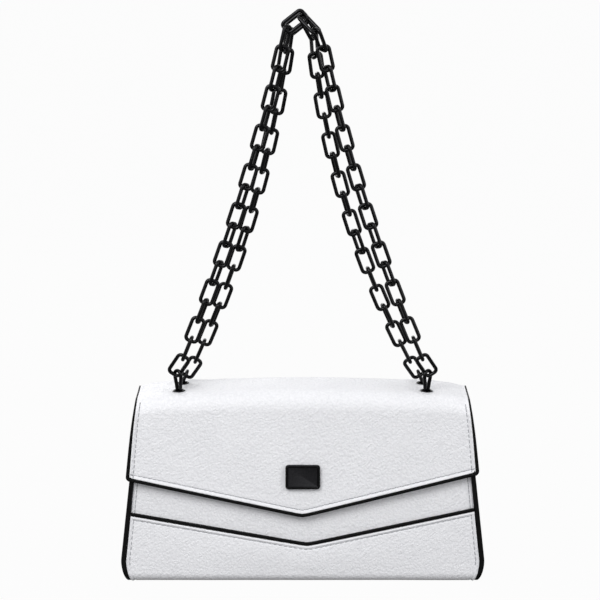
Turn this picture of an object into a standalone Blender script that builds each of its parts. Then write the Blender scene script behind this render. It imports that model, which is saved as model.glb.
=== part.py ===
"""Flap shoulder bag with two upright chains. Lengths in metres, X right, Y to the back, Z up."""

import math

import bmesh
import bpy
from mathutils import Matrix, Vector

# Body: a deep box that leans in on both faces and is widest a little above the base.
BASE_DEPTH = 0.080
WALL_LEAN = math.radians(4.0)
BASE_ROUND = 0.010
WIDEST_HALF = 0.1401
BASE_TUCK = 0.0046
WIDEST_HEIGHT = 0.017
SIDE_TAPER_SHARE = 0.11
HINGE_HEIGHT = 0.132
MOUTH_HEIGHT = 0.133
SEAM_HEIGHT = 0.1295

# Stock thicknesses and the air between neighbours.
GAP = 0.0003
SEAM_GAP = 0.0006
WRAP_THICK = 0.0020
PANEL_THICK = 0.0020
LINING_THICK = 0.0008
GUSSET_THICK = 0.0014
BINDING_WIDE = 0.0030
BINDING_PROUD = 0.0006
EDGE_BAND = 0.0026
BINDING_STOP = 0.0015

# Free edge of the wrap on the front, and the pleat of the side walls.
WRAP_CORNER_HEIGHT = 0.0548
WRAP_POINT_HEIGHT = 0.0284
POINT_SOFTNESS = 0.006
PLEAT_DEPTH = 0.015
GUSSET_INSET = 0.0012
GUSSET_HEIGHT = 0.1255
GUSSET_EDGE = 0.0005

# Flap.
FLAP_STANDOFF = 0.0041
FLAP_THICK = 0.0016
FLAP_LINING_THICK = 0.0010
FLAP_BAND = 0.0024
FLAP_PROUD = 0.0003
FLAP_TOP_HALF = 0.1275
FLAP_FLARE_SHARE = 0.125
FLAP_FOLD_HEIGHT = 0.1455
TOP_SLOPE = math.radians(6.4)
TOP_HEIGHT = 0.1468
TOP_HEIGHT_AT = 0.013
REAR_ROUND = 0.016
FRONT_ROUND = 0.0145
CROWN = 0.0050
CROWN_FULL = 0.141
CROWN_END = 0.112
FLAP_POINT_HEIGHT = 0.0513
FLAP_CORNER_HEIGHT = 0.0824
FLAP_CORNER_CUT = 0.004

# Metal fittings on the flap.
PLAQUE_WIDE = 0.0266
PLAQUE_TALL = 0.0188
PLAQUE_THICK = 0.0028
PLAQUE_ROUND = 0.0012
PLAQUE_RIM = 0.0016
PLAQUE_SINK = 0.0006
PLAQUE_HEIGHT = 0.0829
CLASP_RADIUS = 0.008
CLASP_ROUND = 0.0003
HOLE_RADIUS = 0.0035
BARREL_RADIUS = 0.0041
FLANGE_RADIUS = 0.0052
FLANGE_THICK = 0.0008
WASHER_RADIUS = 0.0056
WASHER_THICK = 0.0006
FRONT_EYELET_HALF = 0.0954
FRONT_EYELET_RUN = 0.0560
REAR_EYELET_HALF = 0.0900
REAR_EYELET_RUN = 0.0312
FRONT_PIVOT_RISE = 0.0126
REAR_PIVOT_RISE = 0.0048
END_WIRE = 0.0025
END_LEG_HALF = 0.00165
END_ARCH_RADIUS = 0.00335
END_FOOT = 0.0046
END_TWIST = math.radians(87.0)

# Chain: closed links of round wire, every second one turned, that bite into one another a little
# where they bear, so that each chain is one body.
WIRE = 0.0029
LINK_BITE = 0.0004
LINK_SEAT = WIRE - LINK_BITE
LINK_PITCH = 0.01550
LINK_LONG = LINK_PITCH + LINK_SEAT
LINK_HALF_WIDE = 0.00455
LINK_ROUND = 0.0034
LINK_TURN = math.radians(62.0)
APEX_TILT = math.radians(38.0)
APEX_FALL = math.radians(46.0)
AFTER_FALL = math.radians(70.0)
STEP_OUT = 0.0060
FRONT_APEX_SIDE = -0.0062
FRONT_APEX_HEIGHT = 0.4288
FRONT_APEX_DEPTH = -0.0105
REAR_APEX_SIDE = -0.0075
REAR_APEX_HEIGHT = 0.4255
REAR_APEX_DEPTH = 0.0005

# Zip of the pocket in the back wall.
ZIP_HEIGHT = 0.098
ZIP_LONG = 0.130
ZIP_WIDE = 0.016
WELT_THICK = 0.0014
WELT_RIM = 0.0030
TAPE_THICK = 0.0006
TEETH_LONG = 0.118
TEETH_WIDE = 0.0018
TEETH_THICK = 0.0012
TOOTH_STEP = 0.0059
STOP_LONG = 0.0018
SLIDER_LONG = 0.0090
SLIDER_WIDE = 0.0070
SLIDER_THICK = 0.0016
SLIDER_ROUND = 0.0005
SLIDER_START = -0.048
BRIDGE_HIGH = 0.0024
BRIDGE_BAR = 0.0012
PULL_LONG = 0.022
PULL_WIDE = 0.0052
PULL_THICK = 0.0010
PULL_EYE_WALL = 0.0007

DERIVATIVE_STEP = 0.0005
ARC_STEPS = 4
WRAP_COLUMNS = 12
FLAP_COLUMNS = 12
GUSSET_COLUMNS = 6
GUSSET_ROWS = 8
BLACK = (0.012, 0.012, 0.013)
WHITE = (0.76, 0.77, 0.79)
GUNMETAL = (0.05, 0.05, 0.055)
CLOTH = (0.30, 0.29, 0.28)
BOARD = (0.42, 0.36, 0.28)

ACROSS = Vector((1.0, 0.0, 0.0))

for item in list(bpy.data.objects):
    bpy.data.objects.remove(item, do_unlink=True)

bag = bpy.data.collections.new("satchel")
cutters = bpy.data.collections.new("cutters")
bpy.context.scene.collection.children.link(bag)
bpy.context.scene.collection.children.link(cutters)


def left_of(direction):
    return Vector((-direction.y, direction.x))


def track(corners, radii):
    """Line and arc pieces along rounded (y, z) corners, walked with the inside on the left."""
    pieces = []
    here = Vector(corners[0])
    for corner, after, radius in zip(corners[1:-1], corners[2:], radii):
        corner = Vector(corner)
        heading = (corner - here).normalized()
        leaving = (Vector(after) - corner).normalized()
        turn = math.atan2(heading.cross(leaving), heading.dot(leaving))
        reach = radius * math.tan(turn / 2.0)
        pieces.append(((corner - here).length - reach, here, heading, 0.0))
        here = corner - heading * reach
        pieces.append((radius * turn, here, heading, radius))
        here = corner + leaving * reach
    end = Vector(corners[-1])
    pieces.append(((end - here).length, here, (end - here).normalized(), 0.0))
    return pieces


def track_length(pieces):
    return sum(piece[0] for piece in pieces)


def on_track(pieces, run, depth=0.0):
    """Point at a run along the track, moved inwards by depth."""
    for length, start, heading, radius in pieces:
        if run <= length or pieces[-1][1] is start:
            break
        run -= length
    if radius:
        centre = start + left_of(heading) * radius
        heading = Matrix.Rotation(run / radius, 2) @ heading
        return centre - left_of(heading) * (radius - depth)
    return start + heading * run + left_of(heading) * depth


def track_runs(pieces, line_steps):
    """Runs at which a skin gets a row: a few along each line and ARC_STEPS round each arc."""
    runs, done = [0.0], 0.0
    for number, (length, _, _, radius) in enumerate(pieces):
        steps = ARC_STEPS if radius else line_steps[number // 2]
        runs += [done + length * (k + 1) / steps for k in range(steps)]
        done += length
    return runs


def paint(obj, colour, roughness, metallic):
    """Own material, named for the piece."""
    look = bpy.data.materials.new(obj.name + "_finish")
    look.use_nodes = True
    shader = look.node_tree.nodes["Principled BSDF"]
    shader.inputs["Base Color"].default_value = (*colour, 1.0)
    shader.inputs["Roughness"].default_value = roughness
    shader.inputs["Metallic"].default_value = metallic
    look.diffuse_color = (*colour, 1.0)
    obj.data.materials.append(look)


def leather(obj):
    paint(obj, WHITE, 0.5, 0.0)


def edge_paint(obj):
    paint(obj, BLACK, 0.35, 0.0)


def metal(obj):
    paint(obj, GUNMETAL, 0.3, 1.0)


def cloth(obj):
    paint(obj, CLOTH, 0.9, 0.0)


def board(obj):
    paint(obj, BOARD, 0.8, 0.0)


def add(name, bm, finish, pivot=None, smooth=True, home=None):
    """Object from a bmesh, with its origin on the pivot."""
    pivot = pivot or Vector((0.0, 0.0, 0.0))
    bmesh.ops.translate(bm, verts=bm.verts, vec=-pivot)
    mesh = bpy.data.meshes.new(name)
    for face in bm.faces:
        face.smooth = smooth
    bm.to_mesh(mesh)
    bm.free()
    obj = bpy.data.objects.new(name, mesh)
    obj.location = pivot
    (home or bag).objects.link(obj)
    if finish:
        finish(obj)
    return obj


def skin(name, place, columns, rows, thickness, finish, pivot=None):
    """Skin of even thickness, grown inwards from the face that place(column, row) describes."""
    bm = bmesh.new()
    bmesh.ops.create_grid(bm, x_segments=columns, y_segments=rows, size=1.0)
    for vert in bm.verts:
        column = round((vert.co.x + 1.0) / 2.0 * columns)
        row = round((vert.co.y + 1.0) / 2.0 * rows)
        vert.co = place(column, row)
    obj = add(name, bm, finish, pivot)
    grow = obj.modifiers.new("thickness", "SOLIDIFY")
    grow.thickness = thickness
    grow.offset = 1.0
    grow.use_even_offset = True
    return obj


def box(name, size, place, finish, bevel=0.0, steps=1, pivot=None, home=None):
    bm = bmesh.new()
    bmesh.ops.create_cube(bm, size=1.0, matrix=place @ Matrix.Diagonal((*size, 1.0)))
    obj = add(name, bm, finish, pivot, smooth=False, home=home)
    if bevel:
        soften(obj, bevel, steps)
    return obj


def soften(obj, width, steps):
    bevel = obj.modifiers.new("round edges", "BEVEL")
    bevel.width = width
    bevel.segments = steps
    bevel.limit_method = "ANGLE"


def cut(obj, cutter):
    cutter.hide_render = True
    cutter.display_type = "WIRE"
    hole = obj.modifiers.new(cutter.name, "BOOLEAN")
    hole.operation = "DIFFERENCE"
    hole.solver = "EXACT"
    hole.object = cutter


def sweep(bm, path, frames, radius, sides, closed):
    """Round wire along a path; frames give the two section directions at each point."""
    rings = []
    for point, (first, second) in zip(path, frames):
        angles = [2.0 * math.pi * (k + 0.5) / sides for k in range(sides)]
        rings.append([bm.verts.new(point + (first * math.cos(a) + second * math.sin(a)) * radius)
                      for a in angles])
    pairs = list(zip(rings, rings[1:]))
    if closed:
        pairs.append((rings[-1], rings[0]))
    else:
        bm.faces.new(reversed(rings[0]))
        bm.faces.new(rings[-1])
    for near, far in pairs:
        for k in range(sides):
            following = (k + 1) % sides
            bm.faces.new((near[k], near[following], far[following], far[k]))


def turned(name, profile, place, steps, finish, pivot=None):
    """Solid of revolution from a closed (radius, height) profile about the local Z axis."""
    bm = bmesh.new()
    ring = [bm.verts.new((radius, 0.0, height)) for radius, height in profile]
    edges = [bm.edges.new((a, b)) for a, b in zip(ring, ring[1:] + ring[:1])]
    bmesh.ops.spin(bm, geom=ring + edges, cent=(0, 0, 0), axis=(0, 0, 1), dvec=(0, 0, 0),
                   angle=2.0 * math.pi, steps=steps, use_merge=True, use_duplicate=False)
    bmesh.ops.remove_doubles(bm, verts=bm.verts, dist=GAP / 100.0)
    bmesh.ops.recalc_face_normals(bm, faces=bm.faces)
    bmesh.ops.transform(bm, matrix=place, verts=bm.verts)
    return add(name, bm, finish, pivot)


def wall_frame(origin, up):
    """Axes on a wall: X across, Z up the wall, -Y towards the viewer of that wall."""
    turn = Matrix((ACROSS, up.cross(ACROSS), up)).transposed()
    return Matrix.Translation(origin) @ turn.to_4x4()


# Body outline.

def smooth(share):
    share = min(1.0, max(0.0, share))
    return share * share * (3.0 - 2.0 * share)


def wall_shift(height):
    return height * math.tan(WALL_LEAN)


def body_half(height):
    """Outer half width of the body, edge binding included."""
    if height < WIDEST_HEIGHT:
        share = 1.0 - height / WIDEST_HEIGHT
        return WIDEST_HALF - BASE_TUCK * share ** 2
    return WIDEST_HALF - SIDE_TAPER_SHARE * (height - WIDEST_HEIGHT)


def point_rise(x, half, rise):
    """Height gained by a soft V edge between the middle and a half width."""
    bent = math.hypot(x, POINT_SOFTNESS) - POINT_SOFTNESS
    return rise * bent / (math.hypot(half, POINT_SOFTNESS) - POINT_SOFTNESS)


def body_track(front_height, back_height):
    half = BASE_DEPTH / 2.0
    return track([(-half + wall_shift(front_height), front_height), (-half, 0.0), (half, 0.0),
                  (half - wall_shift(back_height), back_height)], [BASE_ROUND, BASE_ROUND])


def widest_run(shape):
    """Run down the front wall at which the body is widest."""
    straight = shape[0][0]
    return straight - (WIDEST_HEIGHT - on_track(shape, straight).y) / math.cos(WALL_LEAN)


def body_runs(shape, front_steps, back_steps):
    """Rows for a body skin: even steps on the tapered walls and a row where the taper ends."""
    whole = track_length(shape)
    front = widest_run(shape)
    back = whole - shape[-1][0] + shape[0][0] - front
    below = [run for run in track_runs(shape, (1, 1, 1)) if front < run < whole]
    return ([front * k / front_steps for k in range(front_steps + 1)] + below
            + [back + (whole - back) * k / back_steps for k in range(back_steps + 1)])


def body_skin(name, shape, depth, columns, thickness, finish, margin):
    """Skin that follows front, base and back at a depth under the outer face."""
    runs = body_runs(shape, 3, 3)

    def place(column, row):
        half = body_half(on_track(shape, runs[row]).y) - margin
        y, z = on_track(shape, runs[row], depth)
        return ((2.0 * column / columns - 1.0) * half, y, z)

    return skin(name, place, columns, len(runs) - 1, thickness, finish)


inner_margin = BINDING_WIDE + SEAM_GAP
panel_depth = WRAP_THICK + GAP
lining_depth = panel_depth + PANEL_THICK + GAP
gusset_depth = lining_depth + LINING_THICK + GAP

wrap_shape = body_track(WRAP_CORNER_HEIGHT, HINGE_HEIGHT - GAP)
wrap_runs = body_runs(wrap_shape, 3, 3)


def wrap_edge_run(x, drop):
    """Run of the V edge on the wrap's front, lowered by drop."""
    half = body_half(WRAP_CORNER_HEIGHT)
    rise = WRAP_CORNER_HEIGHT - WRAP_POINT_HEIGHT
    height = WRAP_POINT_HEIGHT + point_rise(x, half, rise)
    return (WRAP_CORNER_HEIGHT - height + drop) / math.cos(WALL_LEAN)


def wrap_place(column, row):
    share = 2.0 * column / WRAP_COLUMNS - 1.0
    start = wrap_edge_run(share * body_half(WRAP_CORNER_HEIGHT), EDGE_BAND + GAP)
    straight = widest_run(wrap_shape)
    run = wrap_runs[row]
    if run < straight:
        run = start + (straight - start) * run / straight
    y, z = on_track(wrap_shape, run)
    return (share * (body_half(z) - inner_margin), y, z)


skin("outer_wrap", wrap_place, WRAP_COLUMNS, len(wrap_runs) - 1, WRAP_THICK, leather)


def wrap_binding_place(column, row):
    share = 2.0 * column / WRAP_COLUMNS - 1.0
    run = wrap_edge_run(share * body_half(WRAP_CORNER_HEIGHT), EDGE_BAND * row)
    half = body_half(on_track(wrap_shape, run).y) - inner_margin
    y, z = on_track(wrap_shape, run, -BINDING_PROUD)
    return (share * half, y, z)


skin("wrap_edge_binding", wrap_binding_place, WRAP_COLUMNS, 1, WRAP_THICK + BINDING_PROUD,
     edge_paint)

# Walls behind the wrap.
front_top = MOUTH_HEIGHT - EDGE_BAND - GAP
front_shape = body_track(MOUTH_HEIGHT, HINGE_HEIGHT - GAP)
front_straight = front_shape[0][0]
panel_foot = widest_run(front_shape)


def wall_skin(name, first, last, depth, rows, columns, thickness, finish, shape=None):
    """Flat skin between two runs of the body track."""
    shape = shape or front_shape

    def place(column, row):
        run = first + (last - first) * row / rows
        half = body_half(on_track(shape, run).y) - inner_margin
        y, z = on_track(shape, run, depth)
        return ((2.0 * column / columns - 1.0) * half, y, z)

    return skin(name, place, columns, rows, thickness, finish)


wall_skin("front_panel", EDGE_BAND + GAP, panel_foot, panel_depth, 3, 4, PANEL_THICK, leather)
wall_skin("mouth_binding", 0.0, EDGE_BAND, panel_depth - BINDING_PROUD, 1, 4,
          PANEL_THICK + BINDING_PROUD, edge_paint)
whole = track_length(front_shape)
back_foot = whole - front_shape[-1][0] + front_straight - panel_foot
wall_skin("back_board", back_foot, whole, panel_depth, 3, 4, PANEL_THICK, board)
base_start = front_straight + front_shape[1][0]
wall_skin("base_board", base_start, base_start + front_shape[2][0], panel_depth, 1, 4, PANEL_THICK,
          board)
lining_shape = body_track(front_top, HINGE_HEIGHT - GAP)
body_skin("lining", lining_shape, lining_depth, 4, LINING_THICK, cloth, inner_margin + 2.0 * GAP)

# Side seams: black binding round the raw edges of front, base and back.

seam_shape = body_track(SEAM_HEIGHT, HINGE_HEIGHT - BINDING_STOP)
seam_runs = body_runs(seam_shape, 3, 3)

for side, sign in (("left", -1.0), ("right", 1.0)):
    def seam_place(column, row, sign=sign):
        height = on_track(seam_shape, seam_runs[row]).y
        outer = body_half(height) - (0.0 if column == (1 if sign > 0 else 0) else BINDING_WIDE)
        proud = BINDING_PROUD * min(1.0, height / BASE_ROUND)
        y, z = on_track(seam_shape, seam_runs[row], -proud)
        return (sign * outer, y, z)

    skin("side_binding_" + side, seam_place, 1, len(seam_runs) - 1,
         lining_depth + LINING_THICK + BINDING_PROUD, edge_paint)

# Side walls with a pleat that folds inwards towards the mouth.

def gusset_point(column, row, columns, extra_depth, sign):
    """Point of the pleated side wall, moved into the bag by extra_depth."""
    floor = gusset_depth + BINDING_PROUD
    corner = BASE_ROUND - gusset_depth
    height = floor + (GUSSET_HEIGHT - floor) * (row / GUSSET_ROWS) ** 1.3
    reach = BASE_DEPTH / 2.0 - gusset_depth / math.cos(WALL_LEAN) - wall_shift(height)
    reach -= GUSSET_EDGE
    above = min(corner, height - floor)
    reach -= corner - math.sqrt(corner ** 2 - (corner - above) ** 2)
    share = 2.0 * column / columns - 1.0
    climb = (height - floor) / (GUSSET_HEIGHT - floor)
    pleat = PLEAT_DEPTH * climb ** 1.2 * smooth(1.0 - abs(share))
    x = body_half(height) - GUSSET_INSET - pleat - extra_depth
    return Vector((sign * x, sign * share * reach, height))


for side, sign in (("left", -1.0), ("right", 1.0)):
    def wall_place(column, row, sign=sign):
        return gusset_point(column, GUSSET_ROWS - row, GUSSET_COLUMNS, 0.0, sign)

    skin("gusset_" + side, wall_place, GUSSET_COLUMNS, GUSSET_ROWS, GUSSET_THICK, leather)

# Flap.

half_depth = BASE_DEPTH / 2.0
hinge = Vector((0.0, half_depth - wall_shift(HINGE_HEIGHT), HINGE_HEIGHT))
front_offset = half_depth + FLAP_STANDOFF / math.cos(WALL_LEAN)


def meet(y, lean, offset):
    """Height where the top line meets a wall line y = offset + lean * z."""
    slope = math.tan(TOP_SLOPE)
    return (TOP_HEIGHT + (offset - TOP_HEIGHT_AT) * slope) / (1.0 - lean * slope)


rear_meet = meet(0.0, -math.tan(WALL_LEAN), half_depth)
front_meet = meet(0.0, math.tan(WALL_LEAN), -front_offset)
flap_shape = track(
    [(hinge.y, hinge.z), (half_depth - wall_shift(rear_meet), rear_meet),
     (-front_offset + wall_shift(front_meet), front_meet),
     (-front_offset + wall_shift(FLAP_POINT_HEIGHT), FLAP_POINT_HEIGHT)],
    [REAR_ROUND, FRONT_ROUND])
flap_length = track_length(flap_shape)
flap_front = flap_length - flap_shape[-1][0]


def flap_half(run):
    y, z = on_track(flap_shape, run)
    if y > 0.0:
        return FLAP_TOP_HALF
    return FLAP_TOP_HALF + FLAP_FLARE_SHARE * max(0.0, FLAP_FOLD_HEIGHT - z)


def flap_point(x, run, depth=0.0):
    """Point of the flap: across x, along the run from the hinge, depth under the outer face."""
    y, z = on_track(flap_shape, run)
    low = HINGE_HEIGHT if y > 0.0 else CROWN_END
    lift = CROWN * smooth((z - low) / (CROWN_FULL - low)) * (1.0 - (x / flap_half(run)) ** 2)
    y, z = on_track(flap_shape, run, depth)
    return Vector((x, y, z + lift))


def flap_edge_run(x):
    """Run of the lower V edge of the flap at x."""
    half = flap_half(flap_length)
    height = point_rise(x, half, FLAP_CORNER_HEIGHT - FLAP_POINT_HEIGHT)
    return flap_length - height / math.cos(WALL_LEAN)


flap_runs = track_runs(flap_shape, (1, 4, 5))


def flap_skin(name, depth, thickness, margin, finish):
    """Flap layer at a depth, margin inside the outline of the flap."""
    def place(column, row):
        share = 2.0 * column / FLAP_COLUMNS - 1.0
        run = flap_runs[row]
        corner = FLAP_CORNER_CUT if column in (0, FLAP_COLUMNS) else 0.0
        if run > flap_front:
            part = (run - flap_front) / (flap_length - flap_front)
            x = share * (flap_half(flap_edge_run(flap_half(flap_length))) - margin)
            run = flap_front + (flap_edge_run(x) - margin - corner - flap_front) * part
        return flap_point(share * (flap_half(run) - margin), run, depth)

    return skin(name, place, FLAP_COLUMNS, len(flap_runs) - 1, thickness, finish, hinge)


flap_leather = flap_skin("flap_leather", 0.0, FLAP_THICK, FLAP_BAND + GAP, leather)
flap_lining = flap_skin("flap_lining", FLAP_THICK + GAP, FLAP_LINING_THICK, FLAP_BAND + GAP, cloth)
flap_total = FLAP_THICK + GAP + FLAP_LINING_THICK


def flap_outline():
    """Outline of the flap as (x, run): down the left side, along the V edge, up the right side."""
    side = [run for run in flap_runs if BINDING_STOP < run <= flap_front]
    half = flap_half(flap_length)
    corner_run = flap_edge_run(half)
    side = [BINDING_STOP] + side
    below = [flap_front + (corner_run - FLAP_CORNER_CUT - flap_front) * k / 3.0 for k in (1, 2, 3)]
    left = [Vector((-flap_half(run), run)) for run in side + below]
    corner_x = flap_half(corner_run)
    foot = [-(corner_x - FLAP_CORNER_CUT) * (1.0 - k / 6.0) for k in range(7)]
    edge = [Vector((x, flap_edge_run(x))) for x in foot]
    half_line = left + edge
    return half_line + [Vector((-p.x, p.y)) for p in reversed(half_line[:-1])]


def inset(line, distance):
    """Line moved inwards by a distance, with mitred corners."""
    moved = []
    for k, point in enumerate(line):
        before = (point - line[k - 1]).normalized() if k else None
        after = (line[k + 1] - point).normalized() if k + 1 < len(line) else before
        before = before or after
        inward = Vector((before.y + after.y, -before.x - after.x)).normalized()
        moved.append(point + inward * distance / max(0.5, inward.dot((before.y, -before.x))))
    return moved


outline = flap_outline()
outline_inner = inset(outline, FLAP_BAND)


def flap_binding_place(column, row):
    x, run = (outline if column == 0 else outline_inner)[row]
    half = flap_half(run)
    return flap_point(max(-half, min(half, x)), run, -FLAP_PROUD)


skin("flap_binding", flap_binding_place, 1, len(outline) - 1, flap_total + FLAP_PROUD, edge_paint,
     hinge)

# Plate on the flap and the two magnet plates of the clasp behind it.
front_up = Vector((0.0, math.sin(WALL_LEAN), math.cos(WALL_LEAN)))


def on_front(height, standoff):
    """Frame on the front, standoff outside the outer face of the wrap."""
    y = -half_depth - standoff / math.cos(WALL_LEAN) + wall_shift(height)
    return wall_frame(Vector((0.0, y, height)), front_up)


def slab(y_from, y_to):
    return Matrix.Translation((0.0, -(y_from + y_to) / 2.0, 0.0))


plaque_place = on_front(PLAQUE_HEIGHT, FLAP_STANDOFF + GAP) @ slab(0.0, PLAQUE_THICK)
bm = bmesh.new()
bmesh.ops.create_cube(bm, size=1.0,
                      matrix=Matrix.Diagonal((PLAQUE_WIDE, PLAQUE_THICK, PLAQUE_TALL, 1.0)))
uprights = [e for e in bm.edges if abs(e.verts[0].co.y - e.verts[1].co.y) > PLAQUE_THICK / 2.0]
bmesh.ops.bevel(bm, geom=uprights, offset=PLAQUE_ROUND * 2.0, segments=3, affect="EDGES",
                profile=0.5)
face = min(bm.faces, key=lambda f: f.calc_center_median().y)
bmesh.ops.inset_region(bm, faces=[face], thickness=PLAQUE_RIM, depth=0.0)
bmesh.ops.inset_region(bm, faces=[face], thickness=PLAQUE_SINK / 2.0, depth=-PLAQUE_SINK)
bmesh.ops.transform(bm, matrix=plaque_place, verts=bm.verts)
add("plaque", bm, metal, hinge, smooth=False)


def disc(name, near, far, pivot=None):
    """Flat round plate on the front between two standoffs."""
    thick = far - near
    profile = [(0.0, 0.0), (CLASP_RADIUS, 0.0), (CLASP_RADIUS, thick - CLASP_ROUND),
               (CLASP_RADIUS - CLASP_ROUND, thick), (0.0, thick)]
    place = on_front(PLAQUE_HEIGHT, near) @ Matrix.Rotation(math.pi / 2.0, 4, "X")
    bm = bmesh.new()
    verts = [bm.verts.new((r, 0.0, h)) for r, h in profile]
    edges = [bm.edges.new(pair) for pair in zip(verts, verts[1:])]
    bmesh.ops.spin(bm, geom=verts + edges, cent=(0, 0, 0), axis=(0, 0, 1), dvec=(0, 0, 0),
                   angle=2.0 * math.pi, steps=20, use_merge=True, use_duplicate=False)
    bmesh.ops.remove_doubles(bm, verts=bm.verts, dist=GAP / 100.0)
    bmesh.ops.recalc_face_normals(bm, faces=bm.faces)
    bmesh.ops.transform(bm, matrix=place, verts=bm.verts)
    return add(name, bm, metal, pivot)


inside_flap = FLAP_STANDOFF - flap_total - GAP
clasp_split = (inside_flap - panel_depth + GAP) / 2.0
disc("clasp_plate_front", -panel_depth + GAP, clasp_split - GAP / 2.0)
disc("clasp_plate_flap", clasp_split + GAP / 2.0, inside_flap, hinge)

# Eyelets, washers and end links.


def eyelet_frame(x, run):
    """Frame on the flap's outer face with Z pointing out of the leather."""
    here = flap_point(x, run)
    across = (flap_point(x + DERIVATIVE_STEP, run) - flap_point(x - DERIVATIVE_STEP, run)).normalized()
    along = flap_point(x, run - DERIVATIVE_STEP) - flap_point(x, run + DERIVATIVE_STEP)
    out = across.cross(along).normalized()
    back = out.cross(across)
    turn = Matrix((across, back, out)).transposed()
    return Matrix.Translation(here) @ turn.to_4x4()


def end_link(name, frame, rise, twist, pivot):
    """Bent wire: arch over the chain, legs through the eyelet, feet spread under the washer."""
    wire = END_WIRE / 2.0
    foot_drop = -(flap_total + GAP + WASHER_THICK + GAP + wire)
    neck = FLANGE_THICK + wire / 3.0
    half = [(END_FOOT, foot_drop), (END_LEG_HALF + wire / 2.0, foot_drop),
            (END_LEG_HALF, foot_drop + wire / 2.0), (END_LEG_HALF, neck)]
    if rise - neck > END_ARCH_RADIUS:
        half.append(((END_LEG_HALF + END_ARCH_RADIUS) / 2.0, (neck + rise) / 2.0))
    half.append((END_ARCH_RADIUS, rise))
    arch = [(END_ARCH_RADIUS * math.cos(a), rise + END_ARCH_RADIUS * math.sin(a))
            for a in (math.pi * k / 6.0 for k in range(1, 6))]
    flat = half + arch + [(-q, e) for q, e in reversed(half)]
    aside = Vector((math.cos(twist), math.sin(twist), 0.0))
    up = Vector((0.0, 0.0, 1.0))
    path = [aside * q + up * e for q, e in flat]
    normal = aside.cross(up)
    frames = []
    for k in range(len(path)):
        way = (path[min(k + 1, len(path) - 1)] - path[max(k - 1, 0)]).normalized()
        frames.append((normal, way.cross(normal)))
    bm = bmesh.new()
    sweep(bm, path, frames, wire, 6, closed=False)
    bmesh.ops.transform(bm, matrix=frame, verts=bm.verts)
    bmesh.ops.recalc_face_normals(bm, faces=bm.faces)
    return add(name, bm, metal, pivot)


pivots = {}
for place_name, eyelet_half, run, rise in (
        ("front", FRONT_EYELET_HALF, FRONT_EYELET_RUN, FRONT_PIVOT_RISE),
        ("rear", REAR_EYELET_HALF, REAR_EYELET_RUN, REAR_PIVOT_RISE)):
    for side, sign in (("left", -1.0), ("right", 1.0)):
        tag = place_name + "_" + side
        frame = eyelet_frame(sign * eyelet_half, run)
        pivots[tag] = frame @ Vector((0.0, 0.0, rise))
        bm = bmesh.new()
        bmesh.ops.create_cone(bm, cap_ends=True, segments=20, radius1=BARREL_RADIUS + GAP,
                              radius2=BARREL_RADIUS + GAP, depth=flap_total * 4.0, matrix=frame)
        punch = add("eyelet_hole_" + tag, bm, None, hinge, home=cutters)
        cut(flap_leather, punch)
        cut(flap_lining, punch)
        low = -(flap_total + GAP + WASHER_THICK)
        profile = [(HOLE_RADIUS, low), (BARREL_RADIUS, low), (BARREL_RADIUS, GAP),
                   (FLANGE_RADIUS, GAP), (FLANGE_RADIUS - FLANGE_THICK / 3.0, FLANGE_THICK),
                   (HOLE_RADIUS + FLANGE_THICK / 3.0, FLANGE_THICK),
                   (HOLE_RADIUS, FLANGE_THICK / 2.0)]
        turned("eyelet_" + tag, profile, frame, 16, metal, hinge)
        top = -(flap_total + GAP)
        ring = [(BARREL_RADIUS + GAP, top - WASHER_THICK), (WASHER_RADIUS, top - WASHER_THICK),
                (WASHER_RADIUS, top), (BARREL_RADIUS + GAP, top)]
        turned("washer_" + tag, ring, frame, 16, metal, hinge)
        end_link("end_link_" + tag, frame, rise, sign * END_TWIST, hinge)

# Chains.


def sagging(start, end, sag, share):
    across = end - start
    inside = Vector((across.y, -across.x)).normalized()
    return start + across * share + inside * (4.0 * sag * share * (1.0 - share))


def solve(test, low, high):
    """Value between low and high where test turns from true to false."""
    for _ in range(40):
        middle = (low + high) / 2.0
        if test(middle):
            low = middle
        else:
            high = middle
    return (low + high) / 2.0


def hang(start, end, sag, spacing):
    """Shares of the sagging curve reached by steps of the given lengths."""
    shares = [0.0]
    whole = (end - start).length
    for length in spacing:
        here = sagging(start, end, sag, shares[-1])

        def short(share, here=here, length=length):
            return (sagging(start, end, sag, share) - here).length < length

        shares.append(solve(short, shares[-1], shares[-1] + 2.0 * length / whole))
    return shares


def strand(start, end, spacing):
    """Points of a hanging strand whose steps just fill the way from start to end."""
    reach = (end - start).length
    sag = solve(lambda trial: hang(start, end, trial, spacing)[-1] > 1.0, 0.0, reach / 4.0)
    points = [sagging(start, end, sag, share) for share in hang(start, end, sag, spacing)]
    points[-1] = end
    return points


def full_steps(reach, open_step, last):
    """Steps of pairs of links, just enough of them to fill a reach."""
    pairs = math.ceil((reach - last) / (LINK_LONG + open_step))
    return [LINK_LONG, open_step] * pairs + ([last] if last else [])


def add_link(bm, near, far, near_seat, far_seat, turn):
    """Closed link between two joints, reaching past each by its seat."""
    way = (far - near).normalized()
    middle = (near - way * near_seat + far + way * far_seat) / 2.0
    facing = Vector((0.0, 1.0, 0.0))
    facing = (facing - way * facing.dot(way)).normalized()
    facing = Matrix.Rotation(turn, 3, way) @ facing
    aside = way.cross(facing)
    half_long = LINK_LONG / 2.0
    path, frames = [], []
    for along_sign, aside_sign, first in ((1, 1, 0.0), (1, -1, 0.5), (-1, -1, 1.0), (-1, 1, 1.5)):
        centre = (middle + way * along_sign * (half_long - LINK_ROUND)
                  + aside * aside_sign * (LINK_HALF_WIDE - LINK_ROUND))
        for step in (0.0, 0.5):
            angle = math.pi * (first + step)
            out = aside * math.cos(angle) + way * math.sin(angle)
            path.append(centre + out * LINK_ROUND)
            frames.append((out, facing))
    sweep(bm, path, frames, WIRE / 2.0, 6, closed=True)


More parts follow.
